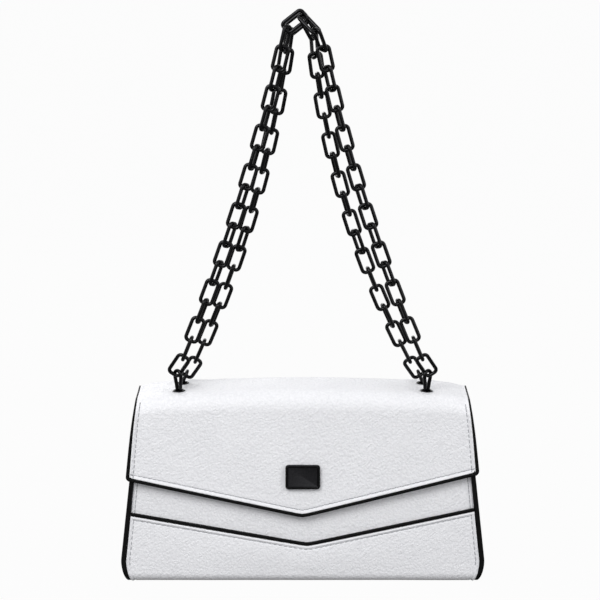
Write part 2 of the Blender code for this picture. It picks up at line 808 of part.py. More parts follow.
def chain(name, pivot_point, apex_side, apex_height, apex_depth, out_sign):
    """Chain between the two pivots with its apex given; its plane leans about the pivot line."""
    pivot = Vector((0.0, pivot_point.y, pivot_point.z))
    lean = math.atan2(apex_depth - pivot.y, apex_height - pivot.z)
    span = abs(pivot_point.x)
    rise = math.hypot(apex_depth - pivot.y, apex_height - pivot.z)
    open_step = LINK_LONG - 2.0 * LINK_SEAT
    tilt = Vector((math.cos(APEX_TILT), math.sin(APEX_TILT)))
    apex = Vector((apex_side, rise))
    low = apex - tilt * open_step / 2.0
    high = apex + tilt * open_step / 2.0
    flat_fall = math.sqrt(LINK_LONG ** 2 - STEP_OUT ** 2)
    fall = high + Vector((math.cos(APEX_FALL), -math.sin(APEX_FALL))) * flat_fall
    flat_after = math.sqrt(LINK_PITCH ** 2 - STEP_OUT ** 2)
    after = fall + Vector((math.cos(AFTER_FALL), -math.sin(AFTER_FALL))) * flat_after

    # The first link of each strand stands upright on its end link; the rest hangs from there.
    foot, knee = Vector((-span, 0.0)), Vector((-span, LINK_PITCH))
    end = Vector((-after.x, after.y))
    left = [foot] + strand(knee, low, full_steps((low - knee).length, open_step, LINK_LONG))
    right = [foot] + strand(knee, end, full_steps((end - knee).length, open_step, 0.0))

    def spread(point, out=0.0):
        return Vector((point.x, out, point.y))

    links = []
    for k, (near, far) in enumerate(zip(left, left[1:])):
        face_on = k % 2 == 0
        links.append((spread(near), spread(far), LINK_SEAT if face_on and k else 0.0,
                      LINK_SEAT if face_on else 0.0, 0.0 if face_on else LINK_TURN))
    step_out = out_sign * STEP_OUT
    links.append((spread(low), spread(high), LINK_SEAT, LINK_SEAT, 0.0))
    links.append((spread(high), spread(fall, step_out), 0.0, 0.0, 2.0 * LINK_TURN))
    links.append((spread(fall, step_out), spread(after), LINK_SEAT, 0.0, LINK_TURN))
    mirror = [Vector((-p.x, p.y)) for p in right]
    for k in range(len(mirror) - 2, -1, -1):
        face_on = k % 2 == 0
        links.append((spread(mirror[k + 1]), spread(mirror[k]), LINK_SEAT if face_on else 0.0,
                      LINK_SEAT if face_on and k else 0.0, 0.0 if face_on else LINK_TURN))
    place = Matrix.Translation(pivot) @ Matrix.Rotation(-lean, 4, "X")
    others = bpy.data.collections.new(name + "_links")
    bpy.context.scene.collection.children.link(others)
    for number, link in enumerate(links):
        bm = bmesh.new()
        add_link(bm, *link)
        bmesh.ops.recalc_face_normals(bm, faces=bm.faces)
        bmesh.ops.transform(bm, matrix=place, verts=bm.verts)
        if number == 0:
            whole_chain = add(name, bm, metal, pivot)
            continue
        piece = add(name + "_link_%02d" % (number + 1), bm, None, pivot, home=others)
        piece.hide_render = True
        piece.display_type = "WIRE"
    join = whole_chain.modifiers.new("links", "BOOLEAN")
    join.operation = "UNION"
    join.solver = "EXACT"
    join.operand_type = "COLLECTION"
    join.collection = others
    return whole_chain


chain("front_chain", pivots["front_right"], FRONT_APEX_SIDE, FRONT_APEX_HEIGHT, FRONT_APEX_DEPTH,
      -1.0)
chain("rear_chain", pivots["rear_right"], REAR_APEX_SIDE, REAR_APEX_HEIGHT, REAR_APEX_DEPTH, 1.0)

# Zip of the inner pocket.

back_up = Vector((0.0, -math.sin(WALL_LEAN), math.cos(WALL_LEAN)))
wall_face = lining_depth + LINING_THICK + GAP
zip_origin = Vector((0.0, half_depth - wall_face / math.cos(WALL_LEAN) - wall_shift(ZIP_HEIGHT),
                     ZIP_HEIGHT))
zip_frame = wall_frame(zip_origin, back_up)


def on_zip(x, out_from, out_to, up):
    """Frame centred between two distances from the back wall."""
    return zip_frame @ Matrix.Translation((x, -(out_from + out_to) / 2.0, up))


welt = box("zip_welt", (ZIP_LONG, WELT_THICK, ZIP_WIDE), on_zip(0.0, 0.0, WELT_THICK, 0.0),
           leather)
window = box("zip_window", (ZIP_LONG - 2.0 * WELT_RIM, WELT_THICK * 4.0, ZIP_WIDE - 2.0 * WELT_RIM),
             on_zip(0.0, 0.0, WELT_THICK, 0.0), None, home=cutters)
cut(welt, window)
tape = (ZIP_LONG - 2.0 * (WELT_RIM + GAP), TAPE_THICK, ZIP_WIDE - 2.0 * (WELT_RIM + GAP))
box("zip_tape", tape, on_zip(0.0, 0.0, TAPE_THICK, 0.0), cloth)
teeth_from = TAPE_THICK + GAP
teeth_middle = on_zip(0.0, teeth_from, teeth_from + TEETH_THICK, 0.0)
count = round(TEETH_LONG / TOOTH_STEP)
rim = []
for k in range(count):
    x = (k - count / 2.0) * TOOTH_STEP
    rim += [(x, TEETH_WIDE / 2.0), (x + TOOTH_STEP / 2.0, TEETH_WIDE / 2.0),
            (x + TOOTH_STEP / 2.0, TEETH_WIDE / 4.0), (x + TOOTH_STEP, TEETH_WIDE / 4.0)]
rim = rim[:-2]
bm = bmesh.new()
front = [bm.verts.new((x, -TEETH_THICK / 2.0, up)) for x, up in rim]
front += [bm.verts.new((x, -TEETH_THICK / 2.0, -up)) for x, up in reversed(rim)]
face = bm.faces.new(front)
grown = bmesh.ops.extrude_face_region(bm, geom=[face])["geom"]
bmesh.ops.translate(bm, vec=(0.0, TEETH_THICK, 0.0),
                    verts=[item for item in grown if isinstance(item, bmesh.types.BMVert)])
bmesh.ops.recalc_face_normals(bm, faces=bm.faces)
bmesh.ops.transform(bm, matrix=teeth_middle, verts=bm.verts)
add("zip_teeth", bm, metal, smooth=False)
stop_size = (STOP_LONG, TEETH_THICK, TEETH_WIDE * 2.0)
for side, sign in (("left", -1.0), ("right", 1.0)):
    x = sign * (TEETH_LONG / 2.0 + GAP + STOP_LONG / 2.0)
    box("zip_stop_" + side, stop_size, on_zip(x, teeth_from, teeth_from + TEETH_THICK, 0.0), metal)

# Slider plate with a bridge, and the pull that hangs from the bridge.
slider_from = teeth_from + TEETH_THICK + GAP
slider_to = slider_from + SLIDER_THICK
slider_pivot = zip_frame @ Vector((SLIDER_START, -slider_to, 0.0))
bar_out = slider_to + BRIDGE_HIGH
bm = bmesh.new()
place = on_zip(SLIDER_START, slider_from, slider_to, 0.0)
bmesh.ops.create_cube(bm, size=1.0, matrix=place @ Matrix.Diagonal(
    (SLIDER_LONG, SLIDER_THICK, SLIDER_WIDE, 1.0)))
slider = add("zip_slider", bm, metal, slider_pivot, smooth=False)
soften(slider, SLIDER_ROUND, 1)
bridge_half = SLIDER_LONG / 2.0 - SLIDER_ROUND - BRIDGE_BAR
bridge_path = [(-bridge_half, slider_to - BRIDGE_BAR), (-bridge_half, bar_out),
               (bridge_half, bar_out), (bridge_half, slider_to - BRIDGE_BAR)]
bm = bmesh.new()
points = [zip_frame @ Vector((SLIDER_START + x, -out, 0.0)) for x, out in bridge_path]
frames = []
for k in range(4):
    way = (points[min(k + 1, 3)] - points[max(k - 1, 0)]).normalized()
    frames.append((back_up, way.cross(back_up)))
sweep(bm, points, frames, BRIDGE_BAR / 2.0, 8, closed=False)
bmesh.ops.recalc_face_normals(bm, faces=bm.faces)
bridge = add("slider_bridge", bm, None, slider_pivot, smooth=False, home=cutters)
bridge.hide_render = True
bridge.display_type = "WIRE"
join = slider.modifiers.new("bridge", "BOOLEAN")
join.operation = "UNION"
join.solver = "EXACT"
join.object = bridge

bar_centre = zip_frame @ Vector((SLIDER_START, -bar_out, 0.0))
eye_inside = BRIDGE_BAR / 2.0 + GAP
eye_outside = eye_inside + PULL_EYE_WALL
eye_half = bridge_half - BRIDGE_BAR / 2.0 - 2.0 * GAP
eye_ring = [(eye_inside, -eye_half), (eye_outside, -eye_half), (eye_outside, eye_half),
            (eye_inside, eye_half)]
eye_place = Matrix.Translation(bar_centre) @ Matrix.Rotation(math.pi / 2.0, 4, "Y")
pull = turned("zip_pull", eye_ring, eye_place, 12, metal, bar_centre)
tab_top = eye_inside + PULL_EYE_WALL / 2.0
tab_place = Matrix.Translation(bar_centre - Vector((0.0, 0.0, (tab_top + PULL_LONG) / 2.0)))
tab = box("pull_tab", (PULL_WIDE, PULL_THICK, PULL_LONG - tab_top), tab_place, None,
          pivot=bar_centre, home=cutters)
tab.hide_render = True
tab.display_type = "WIRE"
join = pull.modifiers.new("tab", "BOOLEAN")
join.operation = "UNION"
join.solver = "EXACT"
join.object = tab
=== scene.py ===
import math

import bmesh
import bpy
import numpy as np
from mathutils import Matrix, Vector, noise


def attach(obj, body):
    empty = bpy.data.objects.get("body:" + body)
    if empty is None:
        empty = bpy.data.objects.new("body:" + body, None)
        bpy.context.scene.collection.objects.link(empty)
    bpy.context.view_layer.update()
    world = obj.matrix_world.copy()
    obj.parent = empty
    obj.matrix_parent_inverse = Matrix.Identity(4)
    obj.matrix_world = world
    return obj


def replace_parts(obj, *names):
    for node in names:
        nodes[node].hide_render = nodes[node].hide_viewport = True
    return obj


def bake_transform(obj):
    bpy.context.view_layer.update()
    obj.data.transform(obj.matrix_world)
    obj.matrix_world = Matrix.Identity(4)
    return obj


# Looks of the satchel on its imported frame: leather shells, bindings, stitches, fine chains, light.

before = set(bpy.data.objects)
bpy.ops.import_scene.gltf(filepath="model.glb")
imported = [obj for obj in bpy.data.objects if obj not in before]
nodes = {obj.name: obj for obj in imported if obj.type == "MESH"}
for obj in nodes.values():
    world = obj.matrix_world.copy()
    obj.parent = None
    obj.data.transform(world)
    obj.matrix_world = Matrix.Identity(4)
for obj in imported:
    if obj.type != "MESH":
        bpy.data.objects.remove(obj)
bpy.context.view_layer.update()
scene = bpy.context.scene

# Body sizes in metres. The rounds of the base and the V edge of the wrap follow the photo.
BASE_DEPTH = 0.080
WALL_LEAN = math.radians(4.0)
BASE_ROUND = 0.0068
WIDEST_HALF = 0.1401
BASE_TUCK = 0.0046
WIDEST_HEIGHT = 0.017
SIDE_TAPER_SHARE = 0.11
HINGE_HEIGHT = 0.132
MOUTH_HEIGHT = 0.133
SEAM_HEIGHT = 0.1295
SIDE_BAND_HEIGHTS = (0.0, 0.010, 0.023, 0.050, 0.073, 0.130)
SIDE_BAND_WIDTHS = (0.0031, 0.0037, 0.0039, 0.0037, 0.0034, 0.0030)
GAP = 0.0003
WRAP_THICK = 0.0020
PANEL_THICK = 0.0020
LINING_THICK = 0.0008
GUSSET_THICK = 0.0014
BINDING_PROUD = 0.0006
EDGE_BAND = 0.0026
BINDING_STOP = 0.0015
WRAP_CORNER_HEIGHT = 0.0548
WRAP_SKEW = 0.0038
WRAP_POINT_HEIGHT = 0.0310
WRAP_POINT_SIDE = 0.0035
POINT_SOFTNESS = 0.002
PLEAT_DEPTH = 0.015
GUSSET_INSET = 0.0012
GUSSET_HEIGHT = 0.1255
GUSSET_EDGE = 0.0005

# Flap sizes. The right corner stands higher than the left one, as in the photo.
FLAP_STANDOFF = 0.0041
FLAP_THICK = 0.0016
FLAP_LINING_THICK = 0.0010
FLAP_BAND = 0.0028
FLAP_BAND_TOP = 0.0012
FLAP_BAND_FROM_SHARE = 0.6
FLAP_PROUD = 0.0003
FLAP_LAP = 0.0002
FLAP_TOP_HALF = 0.1285
FLAP_FLARE_SHARE = 0.118
FLAP_SIDE_BOW = 0.0004
FLAP_FOLD_HEIGHT = 0.1438
TOP_SLOPE = math.radians(2.6)
TOP_HEIGHT = 0.1448
TOP_HEIGHT_AT = 0.013
REAR_ROUND = 0.0138
FRONT_ROUND = 0.0145
CROWN = 0.0048
SIDE_DROP = 0.0022
SIDE_DROP_REACH = 0.015
CROWN_FULL = 0.141
CROWN_END = 0.112
FLAP_POINT_HEIGHT = 0.0513
FLAP_CORNER_HEIGHT = 0.0803
FLAP_SKEW = 0.0048
FLAP_CORNER_CUT = 0.0024

# Plate, eyelets and end links.
PLAQUE_WIDE = 0.0266
PLAQUE_TALL = 0.0188
PLAQUE_THICK = 0.0028
PLAQUE_ROUND = 0.0024
PLAQUE_HEIGHT = 0.0829
HOLE_RADIUS = 0.0035
BARREL_RADIUS = 0.0041
FLANGE_RADIUS = 0.0049
FLANGE_THICK = 0.0008
WASHER_RADIUS = 0.0056
WASHER_THICK = 0.0006
FRONT_EYELET_HALF = 0.0954
FRONT_EYELET_RUN = 0.0549
REAR_EYELET_HALF = 0.0935
REAR_EYELET_RUN = 0.0305
FRONT_AXIS = (-0.01836, 0.15815)
REAR_AXIS = (0.00714, 0.15347)
FRONT_PIVOT_HALF = 0.0961
REAR_PIVOT_HALF = 0.0913
FRONT_END_WIRE = 0.0029
REAR_END_WIRE = 0.0024
END_LEG_HALF = 0.0018
FRONT_ARCH_RADIUS = 0.0039
REAR_ARCH_RADIUS = 0.0034
END_FOOT = 0.0046
FRONT_END_TWIST = math.radians(50.0)
REAR_END_TWIST = math.radians(87.0)
END_NECK = FLANGE_THICK + FRONT_END_WIRE / 6.0

# Chains: sizes of a link, turns of the links seen edge-on in degrees, and how the strands hang.
WIRE = 0.0029
LINK_BITE = 0.0004
LINK_SEAT = WIRE - LINK_BITE
LINK_PITCH = 0.01550
LINK_LONG = LINK_PITCH + LINK_SEAT
LINK_HALF_WIDE = 0.00455
LINK_ROUND = 0.0028
LINK_TURN = math.radians(62.0)
FRONT_TURNS = (88, 76, 64, 62, 62, 72, 72, 60, 62)
REAR_TURNS = (88, 78, 84, 62, 76, 76, 84, 80, 62)
FIRST_TILT = math.radians(33.0)
FIRST_LEAN = math.radians(22.0)
APEX_TILT = math.radians(38.0)
STEP_OUT = 0.0060
FRONT_APEX = (-0.0062, 0.4288, -0.0105)
REAR_APEX = (-0.0046, 0.4268, 0.0005)
FRONT_FALLS = (math.radians(46.0), math.radians(70.0))
REAR_FALLS = (math.radians(62.0), math.radians(86.0))
FRONT_SAGS = (0.0058, 0.0062)
REAR_SAGS = (0.0099, 0.0112)

# Zip of the inner pocket.
ZIP_HEIGHT = 0.098
ZIP_LONG = 0.130
ZIP_WIDE = 0.016
WELT_THICK = 0.0014
WELT_RIM = 0.0030
TAPE_THICK = 0.0006
TEETH_LONG = 0.118
TEETH_THICK = 0.0012

# Sewing, and the fine columns of points beside the edges of a sheet.
STITCH_IN = 0.0027
STITCH_SINK = 0.00034
SEAM_DIP = 0.0005
SEAM_DIP_WIDE = 0.0007
CALM_BORDER = 0.008
FRONT_SWELL = 0.0009
BACK_SWELL = 0.0016
STITCH_PITCH = 0.00395
STITCH_LONG = 0.0028
BACK_SEAM_HEIGHT = 0.112
FINE_BORDER = 0.0060
FINE_STEP = 0.0006


# Lines and shapes

def left_of(direction):
    return Vector((-direction.y, direction.x))


def track(corners, radii):
    """Line and arc pieces along rounded (y, z) corners, walked with the inside on the left."""
    pieces = []
    here = Vector(corners[0])
    for corner, after, radius in zip(corners[1:-1], corners[2:], radii):
        corner = Vector(corner)
        heading = (corner - here).normalized()
        leaving = (Vector(after) - corner).normalized()
        turn = math.atan2(heading.cross(leaving), heading.dot(leaving))
        reach = radius * math.tan(turn / 2.0)
        pieces.append(((corner - here).length - reach, here, heading, 0.0))
        here = corner - heading * reach
        pieces.append((radius * turn, here, heading, radius))
        here = corner + leaving * reach
    end = Vector(corners[-1])
    pieces.append(((end - here).length, here, (end - here).normalized(), 0.0))
    return pieces


def track_length(pieces):
    return sum(piece[0] for piece in pieces)


def on_track(pieces, run, depth=0.0):
    """Point at a run along the track, moved inwards by depth."""
    for length, start, heading, radius in pieces:
        if run <= length or pieces[-1][1] is start:
            break
        run -= length
    if radius:
        centre = start + left_of(heading) * radius
        heading = Matrix.Rotation(run / radius, 2) @ heading
        return centre - left_of(heading) * (radius - depth)
    return start + heading * run + left_of(heading) * depth


def smooth(share):
    share = min(1.0, max(0.0, share))
    return share * share * (3.0 - 2.0 * share)


def wall_shift(height):
    return height * math.tan(WALL_LEAN)


def body_half(height):
    if height < WIDEST_HEIGHT:
        return WIDEST_HALF - BASE_TUCK * (1.0 - height / WIDEST_HEIGHT) ** 2
    return WIDEST_HALF - SIDE_TAPER_SHARE * (height - WIDEST_HEIGHT)


def point_rise(x, half, rise):
    bent = math.hypot(x, POINT_SOFTNESS) - POINT_SOFTNESS
    return rise * bent / (math.hypot(half, POINT_SOFTNESS) - POINT_SOFTNESS)


def body_track(front_height, back_height):
    half = BASE_DEPTH / 2.0
    return track([(-half + wall_shift(front_height), front_height), (-half, 0.0), (half, 0.0),
                  (half - wall_shift(back_height), back_height)], [BASE_ROUND, BASE_ROUND])


def side_band(height):
    """Width of the black side binding, widest low down."""
    return float(np.interp(height, SIDE_BAND_HEIGHTS, SIDE_BAND_WIDTHS))


def meet(lean, offset):
    slope = math.tan(TOP_SLOPE)
    return (TOP_HEIGHT + (offset - TOP_HEIGHT_AT) * slope) / (1.0 - lean * slope)


panel_depth = WRAP_THICK + GAP
lining_depth = panel_depth + PANEL_THICK + GAP
gusset_depth = lining_depth + LINING_THICK + GAP
half_depth = BASE_DEPTH / 2.0
wrap_shape = body_track(WRAP_CORNER_HEIGHT, HINGE_HEIGHT)
front_shape = body_track(MOUTH_HEIGHT, HINGE_HEIGHT - GAP)
hinge = Vector((0.0, half_depth - wall_shift(HINGE_HEIGHT), HINGE_HEIGHT))
front_offset = half_depth + FLAP_STANDOFF / math.cos(WALL_LEAN)
rear_meet = meet(-math.tan(WALL_LEAN), half_depth)
front_meet = meet(math.tan(WALL_LEAN), -front_offset)
flap_shape = track(
    [(hinge.y, hinge.z), (half_depth - wall_shift(rear_meet), rear_meet),
     (-front_offset + wall_shift(front_meet), front_meet),
     (-front_offset + wall_shift(FLAP_POINT_HEIGHT), FLAP_POINT_HEIGHT)],
    [REAR_ROUND, FRONT_ROUND])
flap_length = track_length(flap_shape)
flap_front = flap_length - flap_shape[-1][0]
flap_total = FLAP_THICK + GAP + FLAP_LINING_THICK
wrap_length = track_length(wrap_shape)
wrap_end = wrap_length - (HINGE_HEIGHT - BACK_SEAM_HEIGHT) / math.cos(WALL_LEAN)


def wrap_edge_run(x, drop=0.0):
    beyond = x - WRAP_POINT_SIDE
    half = body_half(WRAP_CORNER_HEIGHT) - math.copysign(WRAP_POINT_SIDE, beyond)
    height = WRAP_POINT_HEIGHT + point_rise(beyond, half, WRAP_CORNER_HEIGHT - WRAP_POINT_HEIGHT)
    height += WRAP_SKEW * max(0.0, beyond) / half
    return (WRAP_CORNER_HEIGHT - height + drop) / math.cos(WALL_LEAN)


def flap_half(run):
    y, z = on_track(flap_shape, run)
    if y > 0.0:
        return FLAP_TOP_HALF
    below = max(0.0, FLAP_FOLD_HEIGHT - z)
    bow = FLAP_SIDE_BOW * math.sin(math.pi * min(1.0, below / (FLAP_FOLD_HEIGHT - FLAP_CORNER_HEIGHT)))
    return FLAP_TOP_HALF + FLAP_FLARE_SHARE * below + bow


def flap_point(x, run, depth=0.0):
    y, z = on_track(flap_shape, run)
    low = HINGE_HEIGHT if y > 0.0 else CROWN_END
    half = flap_half(run)
    lift = CROWN * (1.0 - (x / half) ** 2)
    lift -= SIDE_DROP * (1.0 - smooth((half - abs(x)) / SIDE_DROP_REACH))
    lift *= smooth((z - low) / (CROWN_FULL - low))
    y, z = on_track(flap_shape, run, depth)
    return Vector((x, y, z + lift))


def flap_edge_run(x):
    half = flap_half(flap_length)
    height = point_rise(x, half, FLAP_CORNER_HEIGHT - FLAP_POINT_HEIGHT)
    height += FLAP_SKEW * max(0.0, x) / half
    return flap_length - height / math.cos(WALL_LEAN)


corner_run = flap_edge_run(-flap_half(flap_length))
flap_corners = {}
for sign in (-1.0, 1.0):
    run = flap_edge_run(sign * flap_half(flap_length))
    flap_corners[sign] = (flap_half(run), run)


def flap_band(run):
    """Width of the black flap binding, slim at the top and full at the point."""
    start = flap_front * FLAP_BAND_FROM_SHARE
    return FLAP_BAND_TOP + (FLAP_BAND - FLAP_BAND_TOP) * smooth((run - start) / (corner_run - start))


# Leather relief

def edge_roll(distance, height=0.0006, at=0.0011, wide=0.0007):
    """Leather that swells beside a binding and sinks along its stitches."""
    return (height * math.exp(-((distance - at) / wide) ** 2)
            - STITCH_SINK * math.exp(-((distance - STITCH_IN) / 0.0006) ** 2))


def waves(point, size, height):
    return height * noise.noise(Vector(point) / size)


eyelets = []
for place_name, eyelet_half, run, pivot_half, axis in (
        ("front", FRONT_EYELET_HALF, FRONT_EYELET_RUN, FRONT_PIVOT_HALF, FRONT_AXIS),
        ("rear", REAR_EYELET_HALF, REAR_EYELET_RUN, REAR_PIVOT_HALF, REAR_AXIS)):
    for side, sign in (("left", -1.0), ("right", 1.0)):
        eyelets.append((place_name + "_" + side, sign, sign * eyelet_half, run,
                        Vector((sign * pivot_half, *axis))))


def sheet_half(height):
    return body_half(height) - side_band(height) - GAP


def wrap_lift(x, run):
    point = on_track(wrap_shape, run)
    half = sheet_half(point.y)
    above = run - wrap_edge_run(x, EDGE_BAND + GAP)
    below = wrap_end - run
    lift = edge_roll(min(half - abs(x), above))
    lift -= SEAM_DIP * math.exp(-(max(0.0, below) / SEAM_DIP_WIDE) ** 2)
    away = 1.0 - (x / half) ** 2
    straight = wrap_shape[0][0]
    back = wrap_length - wrap_shape[-1][0]
    if run < straight:
        share = min(1.0, max(0.0, above / (straight - run + above)))
        lift += FRONT_SWELL * away * math.sin(math.pi * share)
    if run > back:
        lift += BACK_SWELL * away * math.sin(math.pi * min(1.0, (run - back) / (wrap_end - back)))
    near = min(1.0, max(0.0, min(half - abs(x), above, below)) / CALM_BORDER)
    lift += near * (waves((x, point.x, point.y), 0.042, 0.00016)
                    + waves((x, point.x, point.y), 0.011, 0.00004))
    return lift


def wrap_outer(x, run):
    y, z = on_track(wrap_shape, run, -wrap_lift(x, run))
    return Vector((x, y, max(0.0, z)))


def wrap_inner(x, run):
    return Vector((x, *on_track(wrap_shape, run, WRAP_THICK)))


def cover_half(run):
    """Half width of the flap's leather, which starts on the back under the side bindings' ends."""
    if run < 0.0:
        low = HINGE_HEIGHT + run * math.cos(WALL_LEAN)
        return sheet_half(low) + (flap_half(0.0) - flap_band(0.0) - GAP
                                  - sheet_half(HINGE_HEIGHT)) * smooth(1.0 + run / 0.004)
    return flap_half(run) - flap_band(run) - GAP


def flap_end(x):
    """Run at which the leather of the flap ends at x, its corners rounded."""
    edge = flap_edge_run(x) - (FLAP_BAND + GAP)
    from_corner = flap_corners[math.copysign(1.0, x)][0] - FLAP_BAND - GAP - abs(x)
    if from_corner < FLAP_CORNER_CUT:
        share = 1.0 - max(0.0, from_corner) / FLAP_CORNER_CUT
        edge -= FLAP_CORNER_CUT * 0.75 * (1.0 - math.sqrt(max(0.0, 1.0 - share * share)))
    return edge


def flap_lift(x, run):
    half = cover_half(run)
    beside = half - abs(x)
    below = flap_end(x) - run
    start = run + (HINGE_HEIGHT - BACK_SEAM_HEIGHT) / math.cos(WALL_LEAN)
    lift = edge_roll(min(beside, below), 0.0009, 0.0005, 0.0012)
    lift *= 0.2 + 0.8 * smooth((run - flap_front * 0.8) / (flap_front * 0.2))
    lift -= SEAM_DIP * math.exp(-(max(0.0, start) / SEAM_DIP_WIDE) ** 2)
    here = flap_point(x, run)
    near = min(1.0, max(0.0, min(beside, below, start)) / CALM_BORDER)
    dimple, calm = 0.0, 1.0
    for _, _, ex, erun, _ in eyelets:
        away = math.hypot(x - ex, run - erun)
        if away < 0.030:
            dimple += 0.0007 * math.exp(-((away - 0.0125) / 0.0045) ** 2)
            calm = min(calm, smooth((away - 0.0052) / 0.006))
    lift += near * calm * (waves(here, 0.042, 0.00020) + waves(here, 0.012, 0.00005) + dimple)
    return lift


def flap_outer(x, run):
    return flap_point(x, run, -flap_lift(x, run))


def flap_inner(x, run):
    return flap_point(x, run, FLAP_THICK)


# Mesh builders

def finish(name, bm, material, body=None, crease=40.0, flat=False):
    """Object from a bmesh, its faces outwards and its sharp edges marked."""
    bmesh.ops.recalc_face_normals(bm, faces=bm.faces)
    for face in bm.faces:
        face.smooth = not flat
    mesh = bpy.data.meshes.new(name)
    bm.to_mesh(mesh)
    bm.free()
    if not flat:
        mesh.set_sharp_from_angle(angle=math.radians(crease))
    mesh.materials.append(material)
    obj = bpy.data.objects.new(name, mesh)
    scene.collection.objects.link(obj)
    if body:
        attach(obj, body)
    return obj


def finish_mesh(name, verts, faces, material, body=None, crease=40.0, flat=False):
    """The same from points and faces, for shells and strips that follow a surface."""
    loose = bpy.data.meshes.new("loose_points")
    loose.from_pydata([tuple(v) for v in verts], [], faces)
    bm = bmesh.new()
    bm.from_mesh(loose)
    bpy.data.meshes.remove(loose)
    return finish(name, bm, material, body, crease, flat)


def join_rings(faces, base, rings, around, closed=False):
    """Appends the faces between rings of points, and two ends unless the last ring meets the first."""
    for n in range(rings if closed else rings - 1):
        near, far = base + n * around, base + (n + 1) % rings * around
        for k in range(around):
            after = (k + 1) % around
            faces.append((near + k, near + after, far + after, far + k))
    if not closed:
        faces.append(tuple(base + k for k in reversed(range(around))))
        faces.append(tuple(base + (rings - 1) * around + k for k in range(around)))


def spots(half, border, fine, middle):
    """Positions across a sheet, close together beside both edges."""
    edge = [k * fine for k in range(int(border / fine))]
    inner = half - border
    return ([-half + e for e in edge]
            + [-inner + 2.0 * inner * k / middle for k in range(middle + 1)]
            + [half - e for e in reversed(edge)])


def sheet(name, grid, outer, inner, material, body=None):
    """Closed sheet over a grid of (x, run) rows, from its outer to its inner face."""
    rows, columns = len(grid), len(grid[0])
    verts = [outer(x, run) for row in grid for x, run in row]
    verts += [inner(x, run) for row in grid for x, run in row]
    count = rows * columns
    faces = []
    for r in range(rows - 1):
        for c in range(columns - 1):
            a, b = r * columns + c, (r + 1) * columns + c
            faces.append((a, a + 1, b + 1, b))
            faces.append((count + a, count + b, count + b + 1, count + a + 1))
    rim = ([c for c in range(columns)] + [r * columns + columns - 1 for r in range(1, rows)]
           + [(rows - 1) * columns + c for c in range(columns - 2, -1, -1)]
           + [r * columns for r in range(rows - 2, 0, -1)])
    for a, b in zip(rim, rim[1:] + rim[:1]):
        faces.append((b, a, a + count, b + count))
    return finish_mesh(name, verts, faces, material, body)


def add_tube(verts, faces, path, frames, radius, sides, closed):
    """Appends a round wire along a path; radius may be a list."""
    radii = radius if isinstance(radius, list) else [radius] * len(path)
    base = len(verts)
    for point, (first, second), r in zip(path, frames, radii):
        for k in range(sides):
            a = 2.0 * math.pi * k / sides
            verts.append(point + (first * math.cos(a) + second * math.sin(a)) * r)
    join_rings(faces, base, len(path), sides, closed)


def turned(name, profile, place, material, body):
    """Closed (radius, height) profile turned round the local Z axis."""
    bm = bmesh.new()
    ring = [bm.verts.new((r, 0.0, h)) for r, h in profile]
    edges = [bm.edges.new(pair) for pair in zip(ring, ring[1:] + ring[:1])]
    bmesh.ops.spin(bm, geom=ring + edges, cent=(0, 0, 0), axis=(0, 0, 1), dvec=(0, 0, 0),
                   angle=2.0 * math.pi, steps=40, use_merge=True, use_duplicate=False)
    bmesh.ops.remove_doubles(bm, verts=bm.verts, dist=GAP / 100.0)
    bmesh.ops.transform(bm, matrix=place, verts=bm.verts)
    return finish(name, bm, material, body)


def section(u_count, power):
    """Rounded section as (share across, share of height) pairs."""
    out = []
    for k in range(u_count):
        a = 2.0 * math.pi * (k + 0.5) / u_count
        c, s = math.cos(a), math.sin(a)
        out.append((0.5 + 0.5 * math.copysign(abs(c) ** power, c),
                    0.5 + 0.5 * math.copysign(abs(s) ** power, s)))
    return out


def binding(name, outer_edge, inner_edge, out_ways, prouds, deep, body, groove=0.0, points=20,
            power=0.62):
    """Rounded black strip folded over an edge, between two lines on the face that it binds."""
    verts, faces = [], []
    shape = section(points, power)
    for outer, inner, out, proud in zip(outer_edge, inner_edge, out_ways, prouds):
        for u, w in shape:
            height = proud - (deep + proud) * (1.0 - w)
            if w > 0.5:
                height -= groove * proud / BINDING_PROUD * math.exp(-((u - 0.5) / 0.12) ** 2)
            verts.append(inner + (outer - inner) * u + out * height)
    join_rings(faces, 0, len(outer_edge), points)
    return finish_mesh(name, verts, faces, black, body, crease=60.0)


def inset(line, distances):
    """Line of (x, run) moved inwards, with mitred corners; the line goes round anticlockwise."""
    moved = []
    for k, point in enumerate(line):
        before = (point - line[k - 1]).normalized() if k else None
        after = (line[k + 1] - point).normalized() if k + 1 < len(line) else before
        before = before or after
        inward = Vector((before.y + after.y, -before.x - after.x)).normalized()
        scale = max(0.5, inward.dot((before.y, -before.x)))
        moved.append(point + inward * distances[k] / scale)
    return moved


def face_frame(surface, x, run):
    """Point, outward direction and directions across and along a surface."""
    step = 0.0002
    across = (surface(x + step, run) - surface(x - step, run)).normalized()
    along = (surface(x, run + step) - surface(x, run - step)).normalized()
    return surface(x, run), along.cross(across).normalized(), across, along


def refine(line, step):
    out = [Vector(line[0])]
    for a, b in zip(line, line[1:]):
        a, b = Vector(a), Vector(b)
        count = max(1, math.ceil((b - a).length / step))
        out += [a + (b - a) * k / count for k in range(1, count + 1)]
    return out


